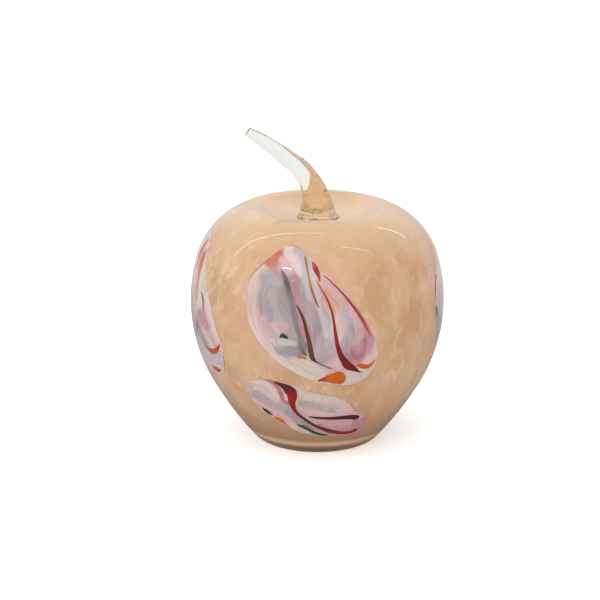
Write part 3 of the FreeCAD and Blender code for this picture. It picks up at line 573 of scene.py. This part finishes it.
def casing():
    """The clear gather: its free face a little uneven from the hand, its inner wall under the coat's face."""
    shape = bmesh.new()
    lathe(shape, layer_section(0.0, 0.0, FOOT_ROUND_RADIUS), TURNS["layer"])
    bmesh.ops.recalc_face_normals(shape, faces=shape.faces)
    for vert in shape.verts:
        low = noise.noise(vert.co * WAVE_SCALE)
        fine = noise.noise(vert.co * RIPPLE_SCALE + Vector((3, 1, 7)))
        calm = share_of(vert.co.z, *CALM_HEIGHTS)
        calm *= share_of(math.hypot(vert.co.x, vert.co.y), *CALM_RADII)
        uneven = CASING_WAVE * (0.5 + 0.5 * low) + CASING_RIPPLE * (0.5 + 0.5 * fine)
        vert.co -= vert.normal * calm * uneven
    inner = bmesh.new()
    lap = LINING_SHARE * COAT_THICKNESS
    section = layer_section(CASING_THICKNESS + lap, CASING_BASE_THICKNESS + lap, LAYER_FOOT_RADIUS)
    lathe(inner, section, TURNS["lining"])
    bmesh.ops.recalc_face_normals(inner, faces=inner.faces)
    bmesh.ops.reverse_faces(inner, faces=inner.faces)
    joined = bpy.data.meshes.new("casing_wall")
    inner.to_mesh(joined)
    inner.free()
    shape.from_mesh(joined)
    bpy.data.meshes.remove(joined)
    return shape


def coat():
    """The peach coat with its back face inside and the blow hole left open."""
    shape = bmesh.new()
    back = layer_section(
        CASING_THICKNESS + COAT_THICKNESS, CASING_BASE_THICKNESS + COAT_THICKNESS, LAYER_FOOT_RADIUS
    )
    rim = BLOW_HOLE_RADIUS + HOLE_CLEARANCE
    front, back = (
        [point for point in section if point[1] < BELLY_HEIGHT or point[0] > rim]
        for section in (coat_section, back)
    )
    edge = coat_section[-1][1] + COAT_EDGE_RISE
    lathe(shape, front + [(rim, edge), (rim, edge - COAT_THICKNESS)] + back[::-1], TURNS["layer"])
    return shape


def disc_outline(shard, turn):
    """The shard's outline at a share of the way round, and its middle."""
    points = OUTLINES[shard]
    middle = (sum(p[0] for p in points) / len(points), sum(p[1] for p in points) / len(points))
    return through_points(points, turn, closed=True), middle


def shard_patch(shard):
    """A thin closed flake in the shard's outline, laid on the coat with a soft edge."""
    shape = bmesh.new()
    rings = 64
    section = [(0.0, 1.0)]
    section += [((ring / rings) ** 0.8, 1.0) for ring in range(1, rings)]
    section += [(0.994, 0.97), (0.998, 0.85), (1.0, 0.6), (1.0, 0.3), (0.995, 0.0), (0.6, 0.0), (0.0, 0.0)]
    lathe(shape, section, TURNS["shard"])
    rim = shape.verts.layers.float.new("rim")
    for vert in shape.verts:
        rho = math.hypot(vert.co.x, vert.co.y)
        turn = (math.atan2(vert.co.y, vert.co.x) / (2 * math.pi)) % 1.0
        edge, middle = disc_outline(shard, turn)
        across = middle[0] + rho * (edge[0] - middle[0])
        up = middle[1] + rho * (edge[1] - middle[1])
        level = vert.co.z
        vert[rim] = rho
        vert.co = laid(shard, across, up, SHARD_LIFT * level - SHARD_SUNK * (1 - level))
    return shape


def strand_loop(shape, tone, shard, shares, tones):
    """One strand: a round ended ribbon of glass along its middle, laid just proud of the shard."""
    sphere = bmesh.ops.create_uvsphere(shape, u_segments=16, v_segments=28 + 5 * len(shares), radius=1.0)
    width, length = SHARDS[shard][3:]
    cap = 0.5 / len(shares)
    for vert in sphere["verts"]:
        share = math.acos(min(1.0, max(-1.0, vert.co.z))) / math.pi
        side = math.atan2(vert.co.y, vert.co.x)
        along = share_of(share, cap, 1 - cap)
        x, y, half = through_points(shares, along)
        half = max(half, THINNEST_STRAND)
        ahead = through_points(shares, along + 0.01)
        behind = through_points(shares, along - 0.01)
        way = Vector(((ahead[0] - behind[0]) * width, (ahead[1] - behind[1]) * length))
        way.normalize()
        tip = max(0.0, cap - min(share, 1 - share)) / cap * math.pi / 2
        edge = math.copysign(1, math.cos(side))
        wobble = 1.0 + 0.2 * noise.noise(Vector((x * 9, y * 9, half * 50 + edge)))
        across = half * width * math.cos(tip) * math.cos(side) * wobble
        onward = half * width * math.sin(tip) * (1 if share > 0.5 else -1)
        x += (way.x * onward - way.y * across) / width
        y += (way.y * onward + way.x * across) / length
        up = math.sin(side) * (STRAND_LIFT if math.sin(side) > 0 else STRAND_DEPTH)
        vert.co = laid(shard, x, y, STRAND_LIFT * 0.8 + up * math.cos(tip))
        vert[tone] = tuple(through_points([linear(TONES[name]) for name in tones], along))


def stem_station(share):
    """The stem's middle, lean and radius for a share of the way up it."""
    stations = [
        (0.0, 0.0, 0.0, 1.0), (0.0, 0.045, 0.0, 0.80), (0.005, 0.093, 0.07, 0.63),
        (0.042, 0.292, 0.25, 0.24), (0.14, 0.46, 0.56, 0.0), (0.29, 0.602, 0.82, -0.17),
        (0.515, 0.743, 0.96, -0.37), (0.757, 0.876, 0.98, -0.57), (1.0, 1.0, 1.0, -1.0),
    ]
    reach, rise, lean, size = through_points(stations, share)
    if size > 0:
        radius = STEM_NECK_RADIUS + size * (STEM_FOOT_RADIUS - STEM_NECK_RADIUS)
    else:
        radius = STEM_NECK_RADIUS + size * (STEM_NECK_RADIUS - STEM_TIP_RADIUS)
    return Vector((-reach * STEM_REACH, 0.0, TOP_OF_DIMPLE + rise * STEM_RISE)), lean * STEM_LEAN, radius


def stem():
    """The pulled stem on its plug: a bent rod with soft lines drawn along it and a nipped tip."""
    shape = bmesh.new()
    streak = shape.verts.layers.float.new("streak")
    plug = BLOW_HOLE_RADIUS - PLUG_CLEARANCE
    plug_foot = TOP_OF_DIMPLE - CASING_THICKNESS - COAT_THICKNESS - CORE_THICKNESS
    foot = stem_station(STEM_START)[2]
    section = [(0.0, plug_foot), (plug, plug_foot)]
    for step in range(7):
        radius = plug + (foot - plug) * step / 6
        section.append((radius, dimple_height(radius) - STEM_SUNK))
    ways = {}
    for ring in range(STEM_RINGS + 1):
        ways[len(section)] = (STEM_START + (1.0 - STEM_START) * ring / STEM_RINGS, 1.0)
        section.append((1.0, 1.0))
    for wide in (0.93, 0.6, 0.0):
        ways[len(section)] = (1.0, wide)
        section.append((wide, 1.0))
    # The height of each ring stands for its number until its points are put in place
    code = 0.01
    coded = [(max(radius, 1e-6), index * code) for index, (radius, _) in enumerate(section)]
    lathe(shape, coded, TURNS["stem"])
    for vert in shape.verts:
        index = round(vert.co.z / code)
        angle = math.atan2(vert.co.y, vert.co.x)
        if index not in ways:
            radius, height = section[index]
            vert.co = (radius * math.cos(angle), radius * math.sin(angle), height)
            continue
        share, wide = ways[index]
        middle, lean, radius = stem_station(share)
        aside = Vector((math.cos(lean), 0.0, math.sin(lean)))
        ahead = Vector((-math.sin(lean), 0.0, math.cos(lean)))
        swell = min(1.0, (share - 0.04) / 0.15)
        lines = math.sin(3 * angle + 5.0 * share) + 0.6 * math.sin(7 * angle - 4.0 * share)
        radius *= 1.0 - LINE_DEPTH * swell * (1.6 + lines) / 1.6
        close = max(0.0, (share - TIP_ROUNDING) / (1.0 - TIP_ROUNDING))
        radius *= wide * (1.0 - 0.10 * close * close)
        vert.co = middle + aside * radius * math.cos(angle)
        vert.co.y += radius * math.sin(angle)
        under = math.pi - abs(angle)
        vert[streak] = math.exp(-((share - STREAK_MIDDLE) / STREAK_REACH) ** 4 - (under / STREAK_SPREAD) ** 2)
        if share > TIP_RING:
            vert[streak] = 0.8 if wide > 0.9 and math.cos(angle) > -0.9 else 0.25
        if wide < 0.9:
            vert.co -= ahead * 0.0001
    bmesh.ops.remove_doubles(shape, verts=shape.verts, dist=2e-6)
    return shape


# Colours and finishes

def new_material(name):
    """A new material, its tree of nodes and its main shader."""
    material = bpy.data.materials.new(name)
    material.use_nodes = True
    return material, material.node_tree, material.node_tree.nodes["Principled BSDF"]


def feed(tree, socket, value):
    """Links a socket to the value where that is a socket too, and sets it where it is a number or colour."""
    if hasattr(value, "links"):
        tree.links.new(value, socket)
    else:
        socket.default_value = value


def arithmetic(tree, kind, *values):
    """A sum on numbers or sockets."""
    node = tree.nodes.new("ShaderNodeMath")
    node.operation = kind
    for socket, value in zip(node.inputs, values):
        feed(tree, socket, value)
    return node.outputs[0]


def mixed(tree, kind, fac, first, second):
    """Mixes two colours by a factor: each of them a socket or a colour."""
    mix = tree.nodes.new("ShaderNodeMix")
    mix.data_type = "RGBA"
    mix.blend_type = kind
    for socket, value in ((mix.inputs[0], fac), (mix.inputs[6], first), (mix.inputs[7], second)):
        feed(tree, socket, value)
    return mix.outputs[2]


def mixed_number(tree, fac, first, second):
    """Mixes two numbers by a factor: each of them a socket or a number."""
    mix = tree.nodes.new("ShaderNodeMix")
    for socket, value in ((mix.inputs[0], fac), (mix.inputs[2], first), (mix.inputs[3], second)):
        feed(tree, socket, value)
    return mix.outputs[0]


def written(tree, name):
    """The node that reads what the points of a piece have written on them under a name."""
    node = tree.nodes.new("ShaderNodeAttribute")
    node.attribute_name = name
    return node


def places(tree):
    """The place on the object: whole, and as its three numbers."""
    place = tree.nodes.new("ShaderNodeTexCoord").outputs["Object"]
    split = tree.nodes.new("ShaderNodeSeparateXYZ")
    tree.links.new(place, split.inputs[0])
    return place, split.outputs


def smooth_share(tree, value, low, high):
    """The soft share of a value between two others."""
    reach = tree.nodes.new("ShaderNodeMapRange")
    reach.interpolation_type = "SMOOTHSTEP"
    reach.inputs["From Min"].default_value = low
    reach.inputs["From Max"].default_value = high
    tree.links.new(value, reach.inputs["Value"])
    return reach.outputs["Result"]


def glass(name, tint, clear_to_light=0.97, foot=None):
    """Clear glass that lets the lamps' light straight through to the layers under it.

    With a foot (a painted tint low down that stands for the peach body seen through the glass, and the two
    heights between which it fades) it has waves there too.
    """
    material, tree, shader = new_material(name)
    shader.inputs["Base Color"].default_value = tint
    shader.inputs["Roughness"].default_value = 0.0
    shader.inputs["IOR"].default_value = 1.5
    shader.inputs["Transmission Weight"].default_value = 1.0
    path = tree.nodes.new("ShaderNodeLightPath")
    soft = arithmetic(tree, "MAXIMUM", path.outputs["Is Shadow Ray"], path.outputs["Is Diffuse Ray"])
    if foot:
        painted_refraction_tint, low, high = foot
        low_down = smooth_share(tree, places(tree)[1]["Z"], high, low)
        streak = written(tree, "streak").outputs["Fac"]
        colour = mixed(tree, "MIX", low_down, tint, painted_refraction_tint)
        colour = mixed(tree, "MIX", streak, colour, linear((0.42, 0.33, 0.20)))
        tree.links.new(colour, shader.inputs["Base Color"])
        waves = clouds(tree, 160, (1, 1, 2.2), 2, 0.3, 0.7, distortion=0.6)
        bump = tree.nodes.new("ShaderNodeBump")
        bump.inputs["Distance"].default_value = 0.0006
        tree.links.new(arithmetic(tree, "MULTIPLY_ADD", low_down, 0.28, 0.05), bump.inputs["Strength"])
        tree.links.new(waves, bump.inputs["Height"])
        tree.links.new(bump.outputs["Normal"], shader.inputs["Normal"])
    clear = tree.nodes.new("ShaderNodeBsdfTransparent")
    clear.inputs["Color"].default_value = (clear_to_light, clear_to_light, clear_to_light, 1.0)
    mix = tree.nodes.new("ShaderNodeMixShader")
    tree.links.new(soft, mix.inputs["Fac"])
    tree.links.new(shader.outputs[0], mix.inputs[1])
    tree.links.new(clear.outputs[0], mix.inputs[2])
    tree.links.new(mix.outputs[0], tree.nodes["Material Output"].inputs["Surface"])
    return material


def clouds(tree, scale, stretch, detail, low, high, source=None, distortion=0.0):
    """Soft cloud shapes as a value from nought to one, in the object's own space."""
    if source is None:
        source = tree.nodes.new("ShaderNodeTexCoord").outputs["Object"]
    mapping = tree.nodes.new("ShaderNodeMapping")
    mapping.inputs["Scale"].default_value = stretch
    tree.links.new(source, mapping.inputs["Vector"])
    texture = tree.nodes.new("ShaderNodeTexNoise")
    texture.inputs["Scale"].default_value = scale
    texture.inputs["Detail"].default_value = detail
    texture.inputs["Distortion"].default_value = distortion
    tree.links.new(mapping.outputs[0], texture.inputs["Vector"])
    return smooth_share(tree, texture.outputs["Fac"], low, high)


def dull(shader, roughness, shine):
    """Sets how rough a face is and how much it mirrors."""
    shader.inputs["Roughness"].default_value = roughness
    shader.inputs["Specular IOR Level"].default_value = shine


def laid_over(tree, colour, tone, share, strength=1.0):
    """The colour with a tone over it, as far as the share times the strength says."""
    return mixed(tree, "MIX", arithmetic(tree, "MULTIPLY", share, strength), colour, linear(tone))


def peach():
    """The coat: warm peach glass with soft clouds and upright flecks; painted shade darkens it low down,
    painted light lightens the very foot and a painted sheen pales the top.
    """
    material, tree, shader = new_material("peach_glass")
    cloud = clouds(tree, 75, (1, 1, 0.7), 6, 0.34, 0.66)
    colour = mixed(tree, "MIX", cloud, linear(PEACH["deep"]), linear(PEACH["pale"]))
    flecks = clouds(tree, 190, (1, 1, 0.5), 4, 0.50, 0.74, distortion=1.2)
    colour = laid_over(tree, colour, PEACH["fleck"], flecks, 0.65)
    place, split = places(tree)
    # Painted shade darkens the coat low down, painted light lightens the very foot again, and a painted sheen
    # pales the top.
    painted_shade_and_light_bands = (("low", 0.034, 0.005, 1.0), ("foot", 0.0096, 0.0070, 1.0), ("painted_top_sheen", 0.094, 0.107, 0.6))
    for tone, start, end, strength in painted_shade_and_light_bands:
        colour = laid_over(tree, colour, PEACH[tone], smooth_share(tree, split["Z"], start, end), strength)
    turned = tree.nodes.new("ShaderNodeMapping")
    turned.inputs["Rotation"].default_value = (0.0, math.radians(-48), 0.0)
    tree.links.new(place, turned.inputs["Vector"])
    strokes = clouds(tree, 230, (1, 0.6, 0.16), 2, 0.50, 0.70, source=turned.outputs["Vector"])
    upper_left = arithmetic(
        tree, "MULTIPLY", smooth_share(tree, split["X"], -0.018, -0.036),
        smooth_share(tree, split["Z"], 0.062, 0.078),
    )
    strokes = arithmetic(tree, "MULTIPLY", strokes, upper_left)
    colour = laid_over(tree, colour, PEACH["stroke"], strokes, 0.75)
    tree.links.new(colour, shader.inputs["Base Color"])
    dull(shader, 0.6, 0.1)
    return material


def marbled(name, seed):
    """A shard: the colours that flow through it, with fine threads and clouds along the flow."""
    material, tree, shader = new_material(name)
    tint = written(tree, "tint").outputs["Color"]
    flow = written(tree, "flow").outputs["Vector"]
    drift = clouds(tree, 1.0, (34, 2.6, 1), 3, 0.36, 0.64, source=flow, distortion=0.4)
    drift = mixed(tree, "MIX", drift, linear(MARBLE["drift"]), WHITE)
    colour = mixed(tree, "MULTIPLY", 0.55, tint, drift)
    thread = clouds(tree, 1.0, (90, 3.2, 1), 2, 0.62, 0.72, source=flow, distortion=0.8)
    colour = laid_over(tree, colour, MARBLE["thread"], thread, 0.22)
    milk = clouds(tree, 60 + seed, (1, 1, 0.8), 4, 0.5, 0.75, distortion=0.5)
    colour = laid_over(tree, colour, MARBLE["milk"], milk, 0.35)
    edge = smooth_share(tree, written(tree, "rim").outputs["Fac"], 0.972, 0.992)
    broken = clouds(tree, 55 + seed, (1, 1, 1), 2, 0.40, 0.60)
    edge = arithmetic(tree, "MULTIPLY", edge, broken)
    colour = laid_over(tree, colour, MARBLE["edge"], edge, 0.75)
    tree.links.new(colour, shader.inputs["Base Color"])
    dull(shader, 0.5, 0.15)
    return material


def coloured(name, dark, light, attribute=None, glow=0.0):
    """Coloured glass in clouds of two tones, over the tones written along its strands if it has them.

    A glow stands for the daylight that comes through the walls of the bubble.
    """
    material, tree, shader = new_material(name)
    cloud = clouds(tree, 120, (1, 1, 0.6), 3, 0.35, 0.68)
    colour = mixed(tree, "MIX", cloud, linear(dark), linear(light))
    if attribute:
        tone = written(tree, attribute).outputs["Color"]
        colour = mixed(tree, "MULTIPLY", 1.0, tone, colour)
    tree.links.new(colour, shader.inputs["Base Color"])
    tree.links.new(colour, shader.inputs["Emission Color"])
    shader.inputs["Emission Strength"].default_value = glow
    dull(shader, 0.4, 0.12)
    return material


def paint_flows(piece, shard):
    """Writes the colour and the place across the flow at each point of a shard, from its flow lines.

    Near lines count most: for the colour by a steep power of the distance, for the place by a softer one.
    """
    samples = []
    for colour, band, points in FLOWS[shard]:
        run = sum(math.dist(first, second) for first, second in zip(points, points[1:]))
        steps = max(3, round(run / FLOW_SPACING))
        for step in range(steps + 1):
            samples.append((through_points(points, step / steps), linear(COLOURS[colour]), band))
    mesh = piece.data
    across, up = shard_axes(shard)[:2]
    height, width, length = SHARDS[shard][2:]
    tints = mesh.attributes.new("tint", "FLOAT_COLOR", "POINT")
    flows = mesh.attributes.new("flow", "FLOAT_VECTOR", "POINT")
    for vert in mesh.vertices:
        flat = vert.co - Vector((0, 0, SHARD_AIM_HEIGHT))
        x = flat.dot(across) / width
        y = (flat.dot(up) - height) / length
        shifts = [
            noise.noise_vector(Vector((x * wide, y * tall, height * apart)))
            for wide, tall, apart, _, _ in SWAYS
        ]
        x += sum(sway[3] * shift.x for sway, shift in zip(SWAYS, shifts))
        y += sum(sway[4] * shift.y for sway, shift in zip(SWAYS, shifts))
        total = band_total = band = 0.0
        light = [0.0, 0.0, 0.0]
        for (px, py), colour, place in samples:
            gap = (px - x) ** 2 + (py - y) ** 2 * UPRIGHT_WEIGHT + FLOW_SOFTNESS
            weight = 1.0 / gap ** TINT_POWER
            soft = 1.0 / gap ** BAND_POWER
            total += weight
            band_total += soft
            band += soft * place
            for channel in range(3):
                light[channel] += weight * colour[channel]
        tints.data[vert.index].color = [part / total for part in light] + [1.0]
        flows.data[vert.index].vector = (band / band_total, y, 0.0)


# Pieces

clear_glass = glass("clear_glass", (0.985, 0.99, 0.985, 1.0))
# The stem's warm tint low down is painted refraction: the colour of the peach body seen through the stem.
stem_glass = glass(
    "stem_glass", (0.87, 0.87, 0.83, 1.0), 0.93, ((0.96, 0.90, 0.72, 1.0), 0.112, 0.130)
)
peach_glass = peach()
core_glass = coloured("core_glass", (0.88, 0.76, 0.62), (0.93, 0.82, 0.68), glow=0.45)
strand_glass = {
    colour: coloured(f"{colour}_glass", (0.90, 0.86, 0.86), (1.0, 1.0, 1.0), "tone")
    for colour in ("red", "olive", "orange", "green")
}

finished(casing(), "casing_glass", clear_glass, ["clear_casing"])
finished(coat(), "coat_colour", peach_glass, ["colour_coat"])
finished(stem(), "stem_rod", stem_glass, ["stem"])
for number, shard in enumerate(SHARDS):
    material = marbled(f"{shard}_marbled_glass", 7 * number)
    piece = finished(shard_patch(shard), f"{shard}_marbling", material, [f"{shard}_shard"])
    paint_flows(piece, shard)
for (shard, colour), runs in STRANDS.items():
    shape = bmesh.new()
    tone = shape.verts.layers.float_color.new("tone")
    for shares, tones in zip(runs, STRAND_TONES[shard, colour]):
        strand_loop(shape, tone, shard, shares, tones)
    finished(
        shape, f"{shard}_{colour}_threads", strand_glass[colour], [f"{shard}_{colour}_strands"],
    )
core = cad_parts["core_bubble"]
core.data.materials.clear()
core.data.materials.append(core_glass)

# Floor, light and camera

# Levels of light: the floor's, as it is seen straight, mirrored and through glass, and then the sky's
FLOOR_SEEN = 0.90
FLOOR_MIRRORED_FRONT = 0.30
FLOOR_MIRRORED_BACK = 0.72
FLOOR_THROUGH_GLASS = 0.60
FLOOR_GLOW = 0.37
AMBIENT = 0.41
FROM_LEFT = 0.22
ABOVE = 0.9
MIRRORED_FRONT = 0.30
MIRRORED_BACK = 0.78
MIRRORED_ABOVE = 0.65

floor_shape = bmesh.new()
bmesh.ops.create_grid(floor_shape, x_segments=1, y_segments=1, size=FLOOR_SIZE)
floor_mesh = bpy.data.meshes.new("floor")
floor_shape.to_mesh(floor_mesh)
floor_shape.free()
for vert in floor_mesh.vertices:
    vert.co.z = -FLOOR_DROP
floor_material, floor_tree, floor_shader = new_material("white_floor")
dull(floor_shader, 0.9, 0.0)
floor_shader.inputs["Emission Color"].default_value = WHITE
floor_mesh.materials.append(floor_material)
floor = bpy.data.objects.new("floor", floor_mesh)
bpy.context.scene.collection.objects.link(floor)

behind = smooth_share(floor_tree, places(floor_tree)[1]["Y"], 0.0, 0.5)
path = floor_tree.nodes.new("ShaderNodeLightPath")
seen_tone, front_tone, back_tone, through_tone = (
    (level, level, level, 1.0)
    for level in (FLOOR_SEEN, FLOOR_MIRRORED_FRONT, FLOOR_MIRRORED_BACK, FLOOR_THROUGH_GLASS)
)
mirrored = mixed(floor_tree, "MIX", behind, front_tone, back_tone)
tone = mixed(floor_tree, "MIX", path.outputs["Is Glossy Ray"], seen_tone, mirrored)
tone = mixed(floor_tree, "MIX", path.outputs["Is Transmission Ray"], tone, through_tone)
floor_tree.links.new(tone, floor_shader.inputs["Base Color"])
seen = arithmetic(floor_tree, "MAXIMUM", path.outputs["Is Camera Ray"], path.outputs["Is Transmission Ray"])
glow = arithmetic(floor_tree, "MULTIPLY", seen, FLOOR_GLOW)
floor_tree.links.new(glow, floor_shader.inputs["Emission Strength"])

world = bpy.data.worlds.new("studio")
world.use_nodes = True
bpy.context.scene.world = world
tree = world.node_tree
sky = tree.nodes["Background"]
way = tree.nodes.new("ShaderNodeNewGeometry")
split = tree.nodes.new("ShaderNodeSeparateXYZ")
tree.links.new(way.outputs["Position"], split.inputs[0])
path = tree.nodes.new("ShaderNodeLightPath")
seen = arithmetic(tree, "MAXIMUM", path.outputs["Is Camera Ray"], path.outputs["Is Transmission Ray"])
soft = arithmetic(
    tree, "MULTIPLY_ADD", smooth_share(tree, split.outputs["Z"], 0.15, 0.95),
    AMBIENT * ABOVE, AMBIENT,
)
leftward = smooth_share(tree, split.outputs["X"], -0.1, -1.0)
soft = arithmetic(tree, "MULTIPLY_ADD", leftward, FROM_LEFT, soft)
back = arithmetic(
    tree, "MULTIPLY_ADD", smooth_share(tree, split.outputs["Z"], 0.0, 0.6),
    MIRRORED_ABOVE, MIRRORED_BACK,
)
behind = smooth_share(tree, split.outputs["Y"], -0.2, 0.9)
mirror = mixed_number(tree, behind, MIRRORED_FRONT, back)
light = mixed_number(tree, path.outputs["Is Glossy Ray"], soft, mirror)
tree.links.new(mixed_number(tree, seen, light, 1.0), sky.inputs["Strength"])
sky.inputs["Color"].default_value = WHITE

# The camera: the height it is aimed at, its angles and its lens
TARGET_HEIGHT = 0.060
ELEVATION = math.radians(16.77)
ROLL = math.radians(-0.42)
LENS = 126.4
SHIFT = (-0.0286, 0.0240)


def sun(name, azimuth, elevation, strength, spread):
    """A far soft lamp: azimuth from the camera's side to the right, elevation above the floor."""
    data = bpy.data.lights.new(name, "SUN")
    data.energy = strength
    data.angle = math.radians(spread)
    lamp = bpy.data.objects.new(name, data)
    a, e = math.radians(azimuth), math.radians(elevation)
    towards = Vector((math.sin(a) * math.cos(e), -math.cos(a) * math.cos(e), math.sin(e)))
    lamp.rotation_mode = "QUATERNION"
    lamp.rotation_quaternion = towards.to_track_quat("Z", "Y")
    lamp.visible_glossy = False
    lamp.visible_transmission = False
    bpy.context.scene.collection.objects.link(lamp)


def strip(name, start, end, breadth, radiance):
    """A lamp like a thin bright strip between two places, turned to the apple's middle."""
    start, end = Vector(start), Vector(end)
    data = bpy.data.lights.new(name, "AREA")
    data.shape = "RECTANGLE"
    data.size = (end - start).length
    data.size_y = breadth
    data.energy = radiance * math.pi * data.size * data.size_y
    lamp = bpy.data.objects.new(name, data)
    middle = (start + end) / 2
    towards = (middle - Vector((0, 0, TARGET_HEIGHT))).normalized()
    along = (end - start).normalized()
    aside = towards.cross(along).normalized()
    towards = along.cross(aside)
    turn = Matrix((along, aside, towards)).transposed().to_4x4()
    lamp.matrix_world = Matrix.Translation(middle) @ turn
    bpy.context.scene.collection.objects.link(lamp)


sun("overhead", -5, 68, 1.10, 60)
sun("key", -30, 35, 0.22, 60)
strip("left_strip", (-1.75, 0.27, 1.06), (0.05, 0.27, 1.06), 0.025, 4.5)
strip("right_strip", (0.27, -0.15, 1.06), (0.72, -0.15, 1.06), 0.035, 3.5)
strip("back_strip", (0.5, 0.72, 1.06), (1.3, 1.1, 1.06), 0.04, 3.5)
strip("window", (-0.50, -0.62, 0.76), (-0.38, -0.69, 0.76), 0.035, 22.0)
strip("window_corner", (-0.40, -0.84, 0.50), (-0.36, -0.86, 0.50), 0.03, 7.0)

back = Vector((0.0, -math.cos(ELEVATION), math.sin(ELEVATION)))
right = Vector((1.0, 0.0, 0.0))
above = Vector((0.0, math.sin(ELEVATION), math.cos(ELEVATION)))
camera_data = bpy.data.cameras.new("camera")
camera_data.sensor_width = 36.0
camera_data.lens = LENS
camera_data.shift_x, camera_data.shift_y = SHIFT
camera_data.clip_end = 50.0
camera = bpy.data.objects.new("camera", camera_data)
picture_right = right * math.cos(ROLL) - above * math.sin(ROLL)
picture_up = right * math.sin(ROLL) + above * math.cos(ROLL)
camera.matrix_world = (
    Matrix.Translation(Vector((0, 0, TARGET_HEIGHT)) + back)
    @ Matrix((picture_right, picture_up, back)).transposed().to_4x4()
)
bpy.context.scene.collection.objects.link(camera)
bpy.context.scene.camera = camera
bpy.context.scene.view_settings.view_transform = "Standard"
